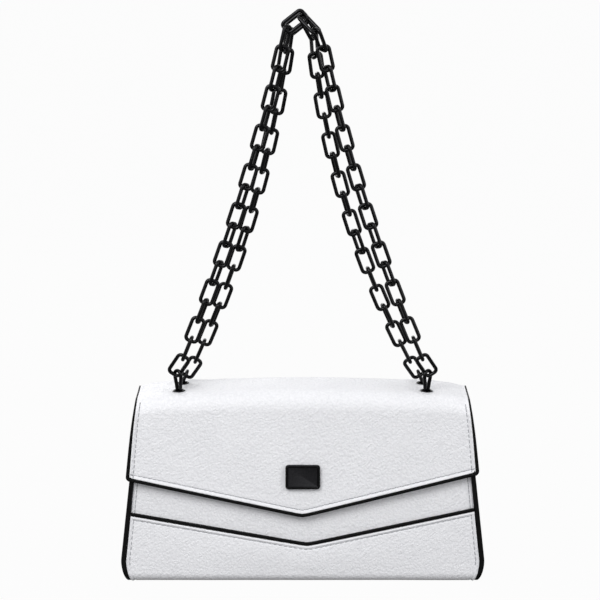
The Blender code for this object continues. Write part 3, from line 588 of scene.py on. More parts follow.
def stitches(name, surface, lines, body, flip=1.0):
    """Raised thread stitches, and dark discs of painted shade at the needle holes between them, along (x,
    run) lines.
    """
    verts, faces, hole_verts, hole_faces = [], [], [], []
    profile = ((-0.5, 0.35, -0.55), (-0.47, 0.75, -0.15), (-0.32, 1.0, 0.30), (0.0, 1.0, 0.42),
               (0.32, 1.0, 0.30), (0.47, 0.75, -0.15), (0.5, 0.35, -0.55))
    thick = 0.00030
    for line in lines:
        line = refine(line, 0.0015)
        points = [surface(*p) for p in line]
        lengths = [0.0]
        for a, b in zip(points, points[1:]):
            lengths.append(lengths[-1] + (b - a).length)
        count = max(1, int(lengths[-1] / STITCH_PITCH))
        pitch = lengths[-1] / count
        for n in range(count):
            spots_here = []
            for at in ((n + 0.5) * pitch, n * pitch):
                k = min(len(points) - 2, max(0, int(np.searchsorted(lengths, at)) - 1))
                share = (at - lengths[k]) / max(1e-9, lengths[k + 1] - lengths[k])
                x, run = line[k] + (line[k + 1] - line[k]) * share
                here, out, _, _ = face_frame(surface, x, run)
                way = (points[k + 1] - points[k]).normalized()
                spots_here.append((here, out * flip, way))
            here, out, way = spots_here[0]
            side = way.cross(out).normalized()
            path = [here + way * STITCH_LONG * t + out * thick * h for t, _, h in profile]
            add_tube(verts, faces, path, [(side, out)] * len(path),
                     [thick * r for _, r, _ in profile], 6, closed=False)
            # Dark disc of painted shade at the needle hole.
            here, out, way = spots_here[1]
            side = way.cross(out).normalized()
            base = len(hole_verts)
            hole_verts += [here + out * 0.00009]
            hole_verts += [here + out * 0.00005 + (way * math.cos(a) * 1.9 + side * math.sin(a)) * 0.00038
                           for a in (math.pi * k / 4.0 for k in range(8))]
            hole_verts += [here - out * 0.0002]
            for k in range(8):
                a, b = base + 1 + k, base + 1 + (k + 1) % 8
                hole_faces += [(base, a, b), (base + 9, b, a)]
    finish_mesh(name, verts, faces, thread, body)
    finish_mesh(name + "_painted_hole_shade", hole_verts, hole_faces, hole_shade, body)


# Materials

def srgb(text):
    values = [int(text[k:k + 2], 16) / 255.0 for k in (1, 3, 5)]
    linear = [v / 12.92 if v <= 0.04045 else ((v + 0.055) / 1.055) ** 2.4 for v in values]
    return (*linear, 1.0)


def put(tree, kind, settings=None, **sockets):
    """New node; sockets are linked where the value is a socket and set otherwise."""
    node = tree.nodes.new("ShaderNode" + kind)
    for key, value in (settings or {}).items():
        setattr(node, key, value)
    for key, value in sockets.items():
        socket = (node.inputs[int(key[1:])] if key[0] == "i" and key[1:].isdigit()
                  else node.inputs[key.replace("_", " ")])
        if isinstance(value, bpy.types.NodeSocket):
            tree.links.new(value, socket)
        else:
            socket.default_value = value
    return node


def new_material(name, roughness=0.5, metallic=0.0, specular=0.5):
    """Material with a plain shader and its object coordinates in millimetres."""
    look = bpy.data.materials.new(name)
    look.use_nodes = True
    tree = look.node_tree
    shader = tree.nodes["Principled BSDF"]
    shader.inputs["Roughness"].default_value = roughness
    shader.inputs["Metallic"].default_value = metallic
    shader.inputs["Specular IOR Level"].default_value = specular
    place = put(tree, "TexCoord").outputs["Object"]
    mm = put(tree, "VectorMath", {"operation": "SCALE"}, i0=place, Scale=1000.0).outputs[0]
    return look, tree, shader, mm


def fluctuate(tree, mm, size, low, high, detail=3.0):
    """Value that wanders between low and high over a size in mm."""
    cloud = put(tree, "TexNoise", Vector=mm, Scale=1.0 / size, Detail=detail).outputs[0]
    return put(tree, "MapRange", i0=cloud, i1=0.3, i2=0.7, i3=low, i4=high).outputs[0]


def blend_colour(tree, factor, first, second):
    return put(tree, "Mix", {"data_type": "RGBA"}, i0=factor, i6=srgb(first), i7=srgb(second)).outputs[2]


def bump(tree, shader, height, distance, strength=1.0, before=None):
    sockets = {"Height": height, "Distance": distance, "Strength": strength}
    if before:
        sockets["Normal"] = before
    out = put(tree, "Bump", **sockets).outputs[0]
    tree.links.new(out, shader.inputs["Normal"])
    return out


def leather_look(name, light, dark, roughness, grain=1.0):
    """Pebbled leather: soft cells of two sizes, fine pores and long diagonal creases; the hollows between
    the cells get painted shade.
    """
    look, tree, shader, mm = new_material(name, specular=0.38)
    drift = put(tree, "TexNoise", Vector=mm, Scale=0.30, Detail=2.0).outputs["Color"]
    bent = put(tree, "VectorMath", {"operation": "MULTIPLY_ADD"}, i0=drift, i1=(1.3, 1.3, 1.3),
               i2=mm).outputs[0]
    cells = put(tree, "TexVoronoi", {"feature": "SMOOTH_F1"}, Vector=bent, Scale=1.0 / 1.9,
                Smoothness=0.55).outputs["Distance"]
    small = put(tree, "TexVoronoi", {"feature": "SMOOTH_F1"}, Vector=bent, Scale=1.0 / 0.85,
                Smoothness=0.4).outputs["Distance"]
    turned = put(tree, "Mapping", {"vector_type": "TEXTURE"}, Vector=mm,
                 Rotation=(0.0, math.radians(-40.0), 0.0), Scale=(7.0, 4.0, 1.1)).outputs[0]
    creases = put(tree, "TexNoise", Vector=turned, Scale=1.0, Detail=3.0, Roughness=0.6).outputs[0]
    pores = put(tree, "TexNoise", Vector=mm, Scale=3.2, Detail=2.0).outputs[0]
    sum_a = put(tree, "Math", {"operation": "MULTIPLY_ADD"}, i0=small, i1=0.42, i2=cells).outputs[0]
    sum_b = put(tree, "Math", {"operation": "MULTIPLY_ADD"}, i0=creases, i1=-1.3, i2=sum_a).outputs[0]
    relief = put(tree, "Math", {"operation": "MULTIPLY_ADD"}, i0=pores, i1=0.10, i2=sum_b).outputs[0]
    first = bump(tree, shader, relief, -0.00036 * grain)
    wide = put(tree, "TexNoise", Vector=mm, Scale=0.05, Detail=3.0).outputs[0]
    bump(tree, shader, wide, 0.0003 * grain, 0.5, first)
    tone = fluctuate(tree, mm, 26.0, 0.1, 0.25)
    # Painted shade: the colour darkens in the hollows between the pebbles, following the same cells as the
    # bump.
    painted_valley_shade = put(tree, "MapRange", i0=cells, i1=0.25, i2=0.75, i3=0.0, i4=0.35).outputs[0]
    mixed = put(tree, "Math", {"operation": "ADD", "use_clamp": True}, i0=tone, i1=painted_valley_shade).outputs[0]
    tree.links.new(blend_colour(tree, mixed, light, dark), shader.inputs["Base Color"])
    tree.links.new(fluctuate(tree, mm, 5.0, roughness - 0.06, roughness + 0.07),
                   shader.inputs["Roughness"])
    return look


def plain_look(name, first, second, size, roughness, metallic=0.0, relief=0.00003, relief_size=0.6,
               spread=0.05, specular=0.5):
    """Finish with two close tones, uneven gloss and a fine surface."""
    look, tree, shader, mm = new_material(name, metallic=metallic, specular=specular)
    tree.links.new(blend_colour(tree, fluctuate(tree, mm, size, 0.0, 1.0), first, second),
                   shader.inputs["Base Color"])
    tree.links.new(fluctuate(tree, mm, size * 0.4, roughness - spread, roughness + spread),
                   shader.inputs["Roughness"])
    fine = put(tree, "TexNoise", Vector=mm, Scale=1.0 / relief_size, Detail=3.0).outputs[0]
    bump(tree, shader, fine, relief)
    return look


def woven_look(name, first, second, pitch, roughness=0.85, relief=0.00012):
    """Twill: two crossed sets of threads seen as fine diagonal ribs."""
    look, tree, shader, mm = new_material(name, specular=0.25)
    turned = put(tree, "Mapping", Vector=mm, Rotation=(0.0, math.radians(45.0), 0.0)).outputs[0]
    ribs = put(tree, "TexWave", {"bands_direction": "X"}, Vector=turned, Scale=0.314 / pitch,
               Distortion=0.6, Detail=1.0).outputs["Fac"]
    across = put(tree, "TexWave", {"bands_direction": "Z"}, Vector=turned, Scale=0.22 / pitch,
                 Distortion=0.4, Detail=1.0).outputs["Fac"]
    both = put(tree, "Math", {"operation": "MULTIPLY_ADD"}, i0=across, i1=0.5, i2=ribs).outputs[0]
    bump(tree, shader, both, relief)
    worn = fluctuate(tree, mm, 9.0, 0.0, 0.4)
    factor = put(tree, "Math", {"operation": "MULTIPLY_ADD", "use_clamp": True}, i0=ribs, i1=0.6,
                 i2=worn).outputs[0]
    tree.links.new(blend_colour(tree, factor, first, second), shader.inputs["Base Color"])
    tree.links.new(fluctuate(tree, mm, 3.0, roughness - 0.05, roughness + 0.05),
                   shader.inputs["Roughness"])
    return look


# Embossed, dyed cowhide: pebbles with a painted highlight on their tops and painted grey shade in the
# hollows between them.
white = leather_look("white_grained_leather", "#EDEDEF", "#DADADD", 0.46)
# The same hide split thinner and pressed: nearly smooth, a little duller.
inner_white = leather_look("white_smooth_leather", "#E4E4E6", "#D8D8DB", 0.5, grain=0.6)
# Edge strip with many coats of black edge paint: deep black with a weak, uneven sheen.
black = plain_look("black_edge_binding", "#050505", "#0B0B0B", 4.0, 0.46, relief=0.00006,
                   relief_size=0.7, spread=0.07, specular=0.09)
# Zinc with polished black nickel plating: dark, with sharp bright lines.
gunmetal = plain_look("polished_gunmetal_plating", "#1B1B1C", "#252526", 6.0, 0.20, metallic=1.0,
                      relief=0.000012, relief_size=1.6, spread=0.05)
# The same plating brushed: a dark field without sharp reflections.
dull_metal = plain_look("brushed_gunmetal_plate", "#28282A", "#323234", 1.2, 0.34, metallic=1.0,
                        relief=0.00002, relief_size=0.25, spread=0.06)
# Nickelled steel of the magnet plates: light grey and softly shiny.
steel = plain_look("nickelled_clasp_steel", "#8E9094", "#A2A4A8", 3.0, 0.3, metallic=1.0,
                   relief=0.00001, relief_size=0.8)
# Spun polyester thread, a little darker than the leather: its grey is painted shade of the sunk stitch
# grooves, so that the seam can be seen.
thread = plain_look("spun_polyester_thread_painted_shade", "#A6A7AB", "#97989C", 0.5, 0.6, relief=0.00006,
                    relief_size=0.16, specular=0.3)
# Dark discs at the needle holes: painted shade of the holes.
hole_shade = plain_look("needle_hole_painted_shade", "#4B4C4F", "#5A5B5E", 0.4, 0.8, relief=0.00002,
                        relief_size=0.3, specular=0.1)
# Cotton twill, its ribs drawn at 0.55 mm so that they show.
cloth_look = woven_look("grey_twill_lining", "#5A5957", "#6B6A67", 0.55)
# Polyester zip tape: tight black weave.
tape_look = woven_look("black_zip_tape_weave", "#1B1B1C", "#262627", 0.4)
# Pressed fibre board: matt tan with a rough surface.
board_look = plain_look("pressed_fibre_board", "#A4926F", "#8D7C5C", 2.0, 0.8, relief=0.00008,
                        relief_size=0.8, specular=0.2)


# Body leather

straight = wrap_shape[0][0]
wrap_back = wrap_length - wrap_shape[-1][0]


def wrap_grid():
    border, fine = FINE_BORDER, FINE_STEP
    rows = []
    arc_front = [straight + wrap_shape[1][0] * k / 12.0 for k in range(1, 13)]
    base_from = straight + wrap_shape[1][0]
    base = [base_from + wrap_shape[2][0] * k / 16.0 for k in range(1, 17)]
    arc_back = [base_from + wrap_shape[2][0] + wrap_shape[3][0] * k / 12.0 for k in range(1, 13)]
    wall = [wrap_back + (wrap_end - border - wrap_back) * k / 34.0 for k in range(1, 35)]
    end = [wrap_end - border + fine * k for k in range(1, 11)]
    for kind, value in ([("edge", fine * k) for k in range(10)]
                        + [("front", k / 14.0) for k in range(15)]
                        + [("run", r) for r in arc_front + base + arc_back + wall + end]):
        row = []
        for c, reference in enumerate(spots(sheet_half(WRAP_CORNER_HEIGHT), border, fine, 72)):
            start = wrap_edge_run(reference, EDGE_BAND + GAP)
            if kind == "edge":
                run = start + value
            elif kind == "front":
                run = start + border + (straight - start - border) * value
            else:
                run = value
            half = sheet_half(on_track(wrap_shape, run).y)
            row.append((spots(half, border, fine, 72)[c], run))
        rows.append(row)
    return rows


wrap_skin = sheet("wrap_leather", wrap_grid(), wrap_outer, wrap_inner, white, "bag_body")
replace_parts(wrap_skin, "outer_wrap")

# V edge of the wrap.
edge_half = sheet_half(WRAP_CORNER_HEIGHT)
edge_xs = [edge_half * math.sin(math.pi * k / 160.0) for k in range(-80, 81)]


def wrap_flat(x, run):
    return Vector((x, *on_track(wrap_shape, run)))


edge_out = [face_frame(wrap_flat, x, wrap_edge_run(x) + 0.001)[1] for x in edge_xs]
piece = binding("wrap_edge_trim", [wrap_flat(x, wrap_edge_run(x)) for x in edge_xs],
                [wrap_flat(x, wrap_edge_run(x, EDGE_BAND)) for x in edge_xs], edge_out,
                [BINDING_PROUD] * len(edge_xs), WRAP_THICK, "bag_body")
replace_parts(piece, "wrap_edge_binding")


def beside(height, sign):
    """Place of the side stitches."""
    return sign * (sheet_half(height) - STITCH_IN)


wrap_lines = [[(x, wrap_edge_run(x, EDGE_BAND + GAP) + STITCH_IN)
               for x in np.linspace(-edge_half + STITCH_IN, edge_half - STITCH_IN, 81)]]
for sign in (-1.0, 1.0):
    start = wrap_edge_run(sign * edge_half, EDGE_BAND + GAP) + STITCH_IN
    runs = np.linspace(start, wrap_end - 0.003, 90)
    for part in (runs[runs < straight - 0.003], runs[runs > wrap_back + 0.003]):
        wrap_lines.append([(beside(on_track(wrap_shape, r).y, sign), r) for r in part])
back_half = sheet_half(BACK_SEAM_HEIGHT) - STITCH_IN
wrap_lines.append([(-back_half, wrap_end - 0.0022), (back_half, wrap_end - 0.0022)])
stitches("wrap_stitches", wrap_outer, wrap_lines, "bag_body")


# Front panel behind the wrap, with its bound mouth edge.
def panel_lift(x, run):
    height = on_track(front_shape, run).y
    half = sheet_half(height)
    lift = edge_roll(min(half - abs(x), run - EDGE_BAND - GAP)) * 0.8
    calm = min(1.0, max(0.0, half - abs(x)) / CALM_BORDER)
    return lift + waves((x, 0.5, height), 0.03, 0.0002) * calm


def panel_outer(x, run):
    return Vector((x, *on_track(front_shape, run, panel_depth - panel_lift(x, run))))


def panel_inner(x, run):
    return Vector((x, *on_track(front_shape, run, panel_depth + PANEL_THICK)))


panel_foot = front_shape[0][0] - 0.006
panel_runs = ([EDGE_BAND + GAP + FINE_STEP * k for k in range(10)]
              + list(np.linspace(EDGE_BAND + GAP + FINE_BORDER, panel_foot, 50)))
panel_grid = [[(x, r) for x in spots(sheet_half(on_track(front_shape, r).y), FINE_BORDER, FINE_STEP, 72)]
              for r in panel_runs]
piece = sheet("front_panel_leather", panel_grid, panel_outer, panel_inner, white, "bag_body")
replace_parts(piece, "front_panel")
panel_lines = []
for sign in (-1.0, 1.0):
    runs = np.linspace(EDGE_BAND + GAP + STITCH_IN, panel_foot - 0.004, 60)
    panel_lines.append([(beside(on_track(front_shape, r).y, sign), r) for r in runs])
mouth_half = sheet_half(MOUTH_HEIGHT) - STITCH_IN
mouth_run = EDGE_BAND + GAP + STITCH_IN
panel_lines.append([(-mouth_half, mouth_run), (mouth_half, mouth_run)])
stitches("front_panel_stitches", panel_outer, panel_lines, "bag_body")


def front_flat(x, run):
    return Vector((x, *on_track(front_shape, run, panel_depth)))


mouth_xs = np.linspace(-sheet_half(MOUTH_HEIGHT), sheet_half(MOUTH_HEIGHT), 60)
piece = binding("mouth_trim", [front_flat(x, 0.0) for x in mouth_xs],
                [front_flat(x, EDGE_BAND) for x in mouth_xs],
                [face_frame(front_flat, x, 0.001)[1] for x in mouth_xs], [BINDING_PROUD] * len(mouth_xs),
                PANEL_THICK + LINING_THICK + GAP + BINDING_PROUD, "bag_body")
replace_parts(piece, "mouth_binding")

# Side bindings.
seam_shape = body_track(SEAM_HEIGHT, HINGE_HEIGHT - BINDING_STOP)
seam_whole = track_length(seam_shape)
for side, sign in (("left", -1.0), ("right", 1.0)):
    outer_edge, inner_edge, ways, prouds = [], [], [], []
    for r in np.linspace(0.0, seam_whole, 150):
        y, z = on_track(seam_shape, r)
        ny, nz = on_track(seam_shape, r, -0.001)
        half = body_half(z)
        outer_edge.append(Vector((sign * half, y, z)))
        inner_edge.append(Vector((sign * (half - side_band(z)), y, z)))
        ways.append(Vector((0.0, ny - y, nz - z)) / 0.001)
        prouds.append(BINDING_PROUD * min(1.0, z / BASE_ROUND))
    piece = binding("side_trim_" + side, outer_edge, inner_edge, ways, prouds,
                    lining_depth + LINING_THICK, "bag_body", groove=0.00045, points=26, power=0.5)
    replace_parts(piece, "side_binding_" + side)


# Side walls with their pleat.
def gusset_point(share, up, extra_depth, sign):
    floor = gusset_depth + BINDING_PROUD
    corner = BASE_ROUND - gusset_depth
    height = floor + (GUSSET_HEIGHT - floor) * up ** 1.3
    reach = BASE_DEPTH / 2.0 - gusset_depth / math.cos(WALL_LEAN) - wall_shift(height) - GUSSET_EDGE
    above = min(corner, height - floor)
    reach -= corner - math.sqrt(corner ** 2 - (corner - above) ** 2)
    climb = (height - floor) / (GUSSET_HEIGHT - floor)
    pleat = PLEAT_DEPTH * climb ** 1.2 * smooth(1.0 - abs(share))
    x = body_half(height) - GUSSET_INSET - pleat - extra_depth
    y = sign * share * reach
    soft = min(1.0, (1.0 - abs(share)) / 0.25)
    x += soft * waves((x, y, height), 0.024, 0.0005)
    return Vector((sign * x, y, height))


for side, sign in (("left", -1.0), ("right", 1.0)):
    grid = [[(2.0 * c / 36.0 - 1.0, 1.0 - r / 48.0) for c in range(37)] for r in range(49)]
    piece = sheet("gusset_leather_" + side, grid,
                  lambda share, up, sign=sign: gusset_point(share, up, 0.0, sign),
                  lambda share, up, sign=sign: gusset_point(share, up, GUSSET_THICK, sign),
                  white, "bag_body")
    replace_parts(piece, "gusset_" + side)

# Cloth lining of front, base and back.
lining_shape = body_track(MOUTH_HEIGHT - EDGE_BAND - GAP, HINGE_HEIGHT - GAP)
lining_whole = track_length(lining_shape)
lining_grid = []
for r in np.linspace(0.0, lining_whole, 150):
    half = sheet_half(on_track(lining_shape, r).y) - 2.0 * GAP
    lining_grid.append([(x, r) for x in spots(half, 0.006, 0.002, 40)])
piece = sheet("lining_cloth", lining_grid,
              lambda x, r: Vector((x, *on_track(lining_shape, r, lining_depth))),
              lambda x, r: Vector((x, *on_track(lining_shape, r, lining_depth + LINING_THICK
                                                + waves((x, r, 0.0), 0.018, 0.0002)))),
              cloth_look, "bag_body")
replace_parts(piece, "lining")


# Flap

cover_start = -(HINGE_HEIGHT - BACK_SEAM_HEIGHT) / math.cos(WALL_LEAN) + GAP


def flap_rows(start, fine):
    arcs = flap_shape[0][0], flap_shape[0][0] + flap_shape[1][0]
    fold = flap_front - flap_shape[3][0]
    rows = [start + fine * k for k in range(6)]
    rows += list(np.linspace(start + fine * 6, arcs[0], 12))[:-1]
    rows += list(np.linspace(arcs[0], arcs[1], 18))[:-1]
    rows += list(np.linspace(arcs[1], fold, 20))[:-1]
    rows += list(np.linspace(fold, flap_front, 18))[:-1]
    return rows


def flap_grid(start, half_at, end_at, fine=FINE_STEP, middle=76, straight_rows=40):
    border = FINE_BORDER
    grid = []
    columns = len(spots(1.0, border, fine, middle))
    for r in flap_rows(start, fine):
        grid.append([(x, r) for x in spots(half_at(r), border, fine, middle)])
    ends = [end_at(x) for x in spots(half_at(corner_run), border, fine, middle)]
    for k in range(straight_rows + 1):
        row = []
        for c in range(columns):
            run = flap_front + (ends[c] - border - flap_front) * k / straight_rows
            row.append((spots(half_at(run), border, fine, middle)[c], run))
        grid.append(row)
    for k in range(1, int(round(border / fine)) + 1):
        row = []
        for c in range(columns):
            run = ends[c] - border + fine * k
            row.append((spots(half_at(run), border, fine, middle)[c], run))
        grid.append(row)
    return grid


def eyelet_frame(x, run):
    step = 0.0005
    here = flap_point(x, run)
    across = (flap_point(x + step, run) - flap_point(x - step, run)).normalized()
    along = flap_point(x, run - step) - flap_point(x, run + step)
    out = across.cross(along).normalized()
    turn = Matrix((across, out.cross(across), out)).transposed()
    return Matrix.Translation(here) @ turn.to_4x4()


def punch(obj):
    """Cuts the four eyelet holes into a flap layer."""
    radius = BARREL_RADIUS + GAP / 2.0
    bm = bmesh.new()
    for _, _, x, run, _ in eyelets:
        bmesh.ops.create_cone(bm, cap_ends=True, segments=28, radius1=radius, radius2=radius,
                              depth=0.008, matrix=eyelet_frame(x, run))
    tool = finish(obj.name + "_punch", bm, black)
    hole = obj.modifiers.new("holes", "BOOLEAN")
    hole.operation = "DIFFERENCE"
    hole.solver = "EXACT"
    hole.object = tool
    graph = bpy.context.evaluated_depsgraph_get()
    result = bpy.data.meshes.new_from_object(obj.evaluated_get(graph))
    obj.modifiers.clear()
    obj.data = result
    bpy.data.objects.remove(tool, do_unlink=True)
    while len(obj.data.materials) > 1:
        obj.data.materials.pop()
    for face in obj.data.polygons:
        face.material_index = 0
    return obj


flap_skin = punch(sheet("flap_leather_shell", flap_grid(cover_start, cover_half, flap_end), flap_outer,
                        flap_inner, white))
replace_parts(flap_skin, "flap_leather")
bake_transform(flap_skin)


def lining_half(run):
    return flap_half(run) - FLAP_BAND - GAP


def lining_end(x):
    return flap_end(x) + GAP


flap_back = punch(sheet("flap_lining_leather",
                        flap_grid(0.004, lining_half, lining_end, 0.002, 40, 24),
                        lambda x, r: flap_point(x, r, FLAP_THICK + GAP),
                        lambda x, r: flap_point(x, r, flap_total), inner_white, "flap"))
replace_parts(flap_back, "flap_lining")


def flap_side(sign):
    """Side of the flap from the hinge down and round its corner, and the band width at each point."""
    half, run = flap_corners[sign]
    runs = np.linspace(BINDING_STOP, run - FLAP_CORNER_CUT, 90)
    line = [Vector((sign * flap_half(r), r)) for r in runs]
    widths = [flap_band(p.y) for p in line]
    start, corner = line[-1], Vector((sign * half, run))
    x = sign * (half - FLAP_CORNER_CUT)
    end = Vector((x, flap_edge_run(x)))
    for t in (k / 6.0 for k in range(1, 7)):
        line.append(start * (1 - t) ** 2 + corner * 2 * t * (1 - t) + end * t ** 2)
        widths.append(FLAP_BAND)
    return line, widths


# Outline of the flap as (x, run), down the left side, along the V edge and up the right side.
left_side, left_widths = flap_side(-1.0)
right_side, right_widths = flap_side(1.0)
outline = list(left_side)
for side_end, places in ((left_side[-1].x, range(1, 61)), (right_side[-1].x, range(59, 0, -1))):
    for k in places:
        x = side_end * math.cos(math.pi / 2.0 * k / 60.0)
        outline.append(Vector((x, flap_edge_run(x))))
outline += reversed(right_side)
between = len(outline) - len(left_side) - len(right_side)
bands = left_widths + [FLAP_BAND] * between + right_widths[::-1]
outline_inner = inset(outline, bands)


def flap_rim(points):
    return [flap_point(x, run) for x, run in points]


rim_out = [face_frame(flap_point, x * 0.995, run)[1] for x, run in outline]
piece = binding("flap_trim", flap_rim(outline), flap_rim(outline_inner), rim_out,
                [FLAP_PROUD] * len(outline), flap_total + FLAP_LAP, "flap")
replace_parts(piece, "flap_binding")

stitch_line = inset(outline, [b + GAP + STITCH_IN for b in bands])
stitches("flap_stitches", flap_outer, [[p for p in stitch_line if p.y > flap_front * 0.84]], "flap")
seam_half = cover_half(cover_start) - STITCH_IN
stitches("flap_back_stitches", flap_outer,
         [[(-seam_half, cover_start + 0.0022), (seam_half, cover_start + 0.0022)]], "bag_body")

# Strip of thin leather that closes the fold between the back lining and the flap's lining.
fold_places = (-0.010, -0.006, -0.002, 0.001, 0.004, 0.007, 0.011, 0.016)
fold_depths = (0.0058, 0.0058, 0.0058, 0.0054, 0.0044, 0.0038, 0.0035, 0.0034)
fold_xs = np.linspace(-0.1205, 0.1205, 60)
fold_runs = np.linspace(fold_places[0], fold_places[-1], 26)
fold_depth = [float(np.interp(r, fold_places, fold_depths)) for r in fold_runs]
fold_grid = [[(x, k) for x in fold_xs] for k in range(26)]
fold_piece = sheet("fold_lining", fold_grid,
                   lambda x, k: flap_point(x, fold_runs[k], fold_depth[k]),
                   lambda x, k: flap_point(x, fold_runs[k], fold_depth[k] + 0.0005), inner_white)
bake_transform(fold_piece)

# Eyelets and end links

washer_low = -(flap_total + GAP + WASHER_THICK)
washer_high = washer_low + WASHER_THICK
washer_round = 0.0001
eyelet_profile = [(HOLE_RADIUS, washer_low), (BARREL_RADIUS, washer_low), (BARREL_RADIUS, GAP),
                  (FLANGE_RADIUS - 0.0001, GAP), (FLANGE_RADIUS, GAP + 0.00012),
                  (FLANGE_RADIUS - 0.00008, GAP + 0.0003), (FLANGE_RADIUS - 0.0004, FLANGE_THICK + 0.00005),
                  (FLANGE_RADIUS - 0.0008, FLANGE_THICK + 0.0001), (HOLE_RADIUS + 0.0004, FLANGE_THICK),
                  (HOLE_RADIUS + 0.0001, FLANGE_THICK - 0.0002), (HOLE_RADIUS, FLANGE_THICK - 0.0005)]
washer_profile = [(BARREL_RADIUS + GAP, washer_low), (WASHER_RADIUS - washer_round, washer_low),
                  (WASHER_RADIUS, washer_low + washer_round), (WASHER_RADIUS, washer_high - washer_round),
                  (WASHER_RADIUS - washer_round, washer_high), (BARREL_RADIUS + GAP, washer_high)]


def soften_path(points, times):
    for _ in range(times):
        out = [points[0]]
        for a, b in zip(points, points[1:]):
            out += [a.lerp(b, 0.25), a.lerp(b, 0.75)]
        points = out + [points[-1]]
    return points


def end_link_path(pivot, radius, twist, wire):
    """Bent wire whose arch is centred on the pivot, given in the eyelet's own frame."""
    rise = pivot.z

    def lean(height):
        return Vector((pivot.x, pivot.y, 0.0)) * max(0.0, height - END_NECK) / (rise - END_NECK)

    foot_drop = -(flap_total + GAP + WASHER_THICK + GAP + wire)
    half = [(END_FOOT, foot_drop), (END_LEG_HALF + wire / 2.0, foot_drop),
            (END_LEG_HALF, foot_drop + wire / 2.0), (END_LEG_HALF, END_NECK)]
    if rise - END_NECK > radius:
        half.append(((END_LEG_HALF + radius) / 2.0, (END_NECK + rise) / 2.0))
    half.append((radius, rise))
    arch = [(radius * math.cos(a), rise + radius * math.sin(a))
            for a in (math.pi * k / 12.0 for k in range(1, 12))]
    flat = half + arch + [(-q, e) for q, e in reversed(half)]
    aside = Vector((math.cos(twist), math.sin(twist), 0.0))
    up = Vector((0.0, 0.0, 1.0))
    path = soften_path([aside * q + up * e + lean(e) for q, e in flat], 2)
    normal = aside.cross(up)
    frames = []
    for k in range(len(path)):
        way = (path[min(k + 1, len(path) - 1)] - path[max(k - 1, 0)]).normalized()
        second = way.cross(normal).normalized()
        frames.append((second.cross(way), second))
    return path, frames


end_shapes = {"front": (FRONT_ARCH_RADIUS, FRONT_END_TWIST, FRONT_END_WIRE / 2.0),
              "rear": (REAR_ARCH_RADIUS, REAR_END_TWIST, REAR_END_WIRE / 2.0)}
pivots = {}
for tag, sign, x, run, pivot in eyelets:
    place = eyelet_frame(x, run)
    radius, twist, wire = end_shapes[tag.split("_")[0]]
    pivots[tag] = pivot
    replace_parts(turned("eyelet_ring_" + tag, eyelet_profile, place, gunmetal, "flap"), "eyelet_" + tag)
    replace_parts(turned("washer_ring_" + tag, washer_profile, place, gunmetal, "flap"), "washer_" + tag)
    verts, faces = [], []
    path, frames = end_link_path(place.inverted() @ pivot, radius, sign * twist, wire)
    path = [place @ p for p in path]
    turn = place.to_3x3()
    add_tube(verts, faces, path, [(turn @ a, turn @ b) for a, b in frames], wire, 14, closed=False)
    piece = finish_mesh("bent_end_link_" + tag, verts, faces, gunmetal, "flap")
    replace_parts(piece, "end_link_" + tag)

# Chains


def sagging(start, end, sag, share):
    across = end - start
    inside = Vector((across.y, -across.x)).normalized()
    return start + across * share + inside * (4.0 * sag * share * (1.0 - share))


def solve(test, low, high):
    for _ in range(40):
        middle = (low + high) / 2.0
        if test(middle):
            low = middle
        else:
            high = middle
    return (low + high) / 2.0


def hang(start, end, sag, spacing):
    shares = [0.0]
    whole = (end - start).length
    for length in spacing:
        here = sagging(start, end, sag, shares[-1])

        def short(share, here=here, length=length):
            return (sagging(start, end, sag, share) - here).length < length

        shares.append(solve(short, shares[-1], shares[-1] + 2.0 * length / whole))
    return shares


def strand(start, end, spacing, sag):
    """Joints of a strand with a given sag; the spacing gives way by a few hundredths."""

    def stretched(trial):
        return hang(start, end, sag, [s * trial for s in spacing])

    shares = stretched(solve(lambda trial: stretched(trial)[-1] < 1.0, 0.9, 1.1))
    points = [sagging(start, end, sag, share) for share in shares]
    points[-1] = end
    return points


def link_path(near, far, near_seat, far_seat, turn):
    """Centre line and section directions of one closed link, fine enough to look round."""
    way = (far - near).normalized()
    middle = (near - way * near_seat + far + way * far_seat) / 2.0
    facing = Vector((0.0, 1.0, 0.0))
    facing = (facing - way * facing.dot(way)).normalized()
    facing = Matrix.Rotation(turn, 3, way) @ facing
    aside = way.cross(facing)
    half_long = (LINK_LONG + LINK_BITE) / 2.0
    path, frames = [], []
    for along_sign, aside_sign, first in ((1, 1, 0.0), (1, -1, 0.5), (-1, -1, 1.0), (-1, 1, 1.5)):
        centre = (middle + way * along_sign * (half_long - LINK_ROUND)
                  + aside * aside_sign * (LINK_HALF_WIDE - LINK_ROUND))
        for step in range(7):
            angle = math.pi * (first + step / 12.0)
            out = aside * math.cos(angle) + way * math.sin(angle)
            path.append(centre + out * LINK_ROUND)
            frames.append((out, facing))
    return path, frames


def full_steps(reach, open_step, last):
    pairs = round((reach - last) / (LINK_LONG + open_step))
    return [LINK_LONG, open_step] * pairs + ([last] if last else [])


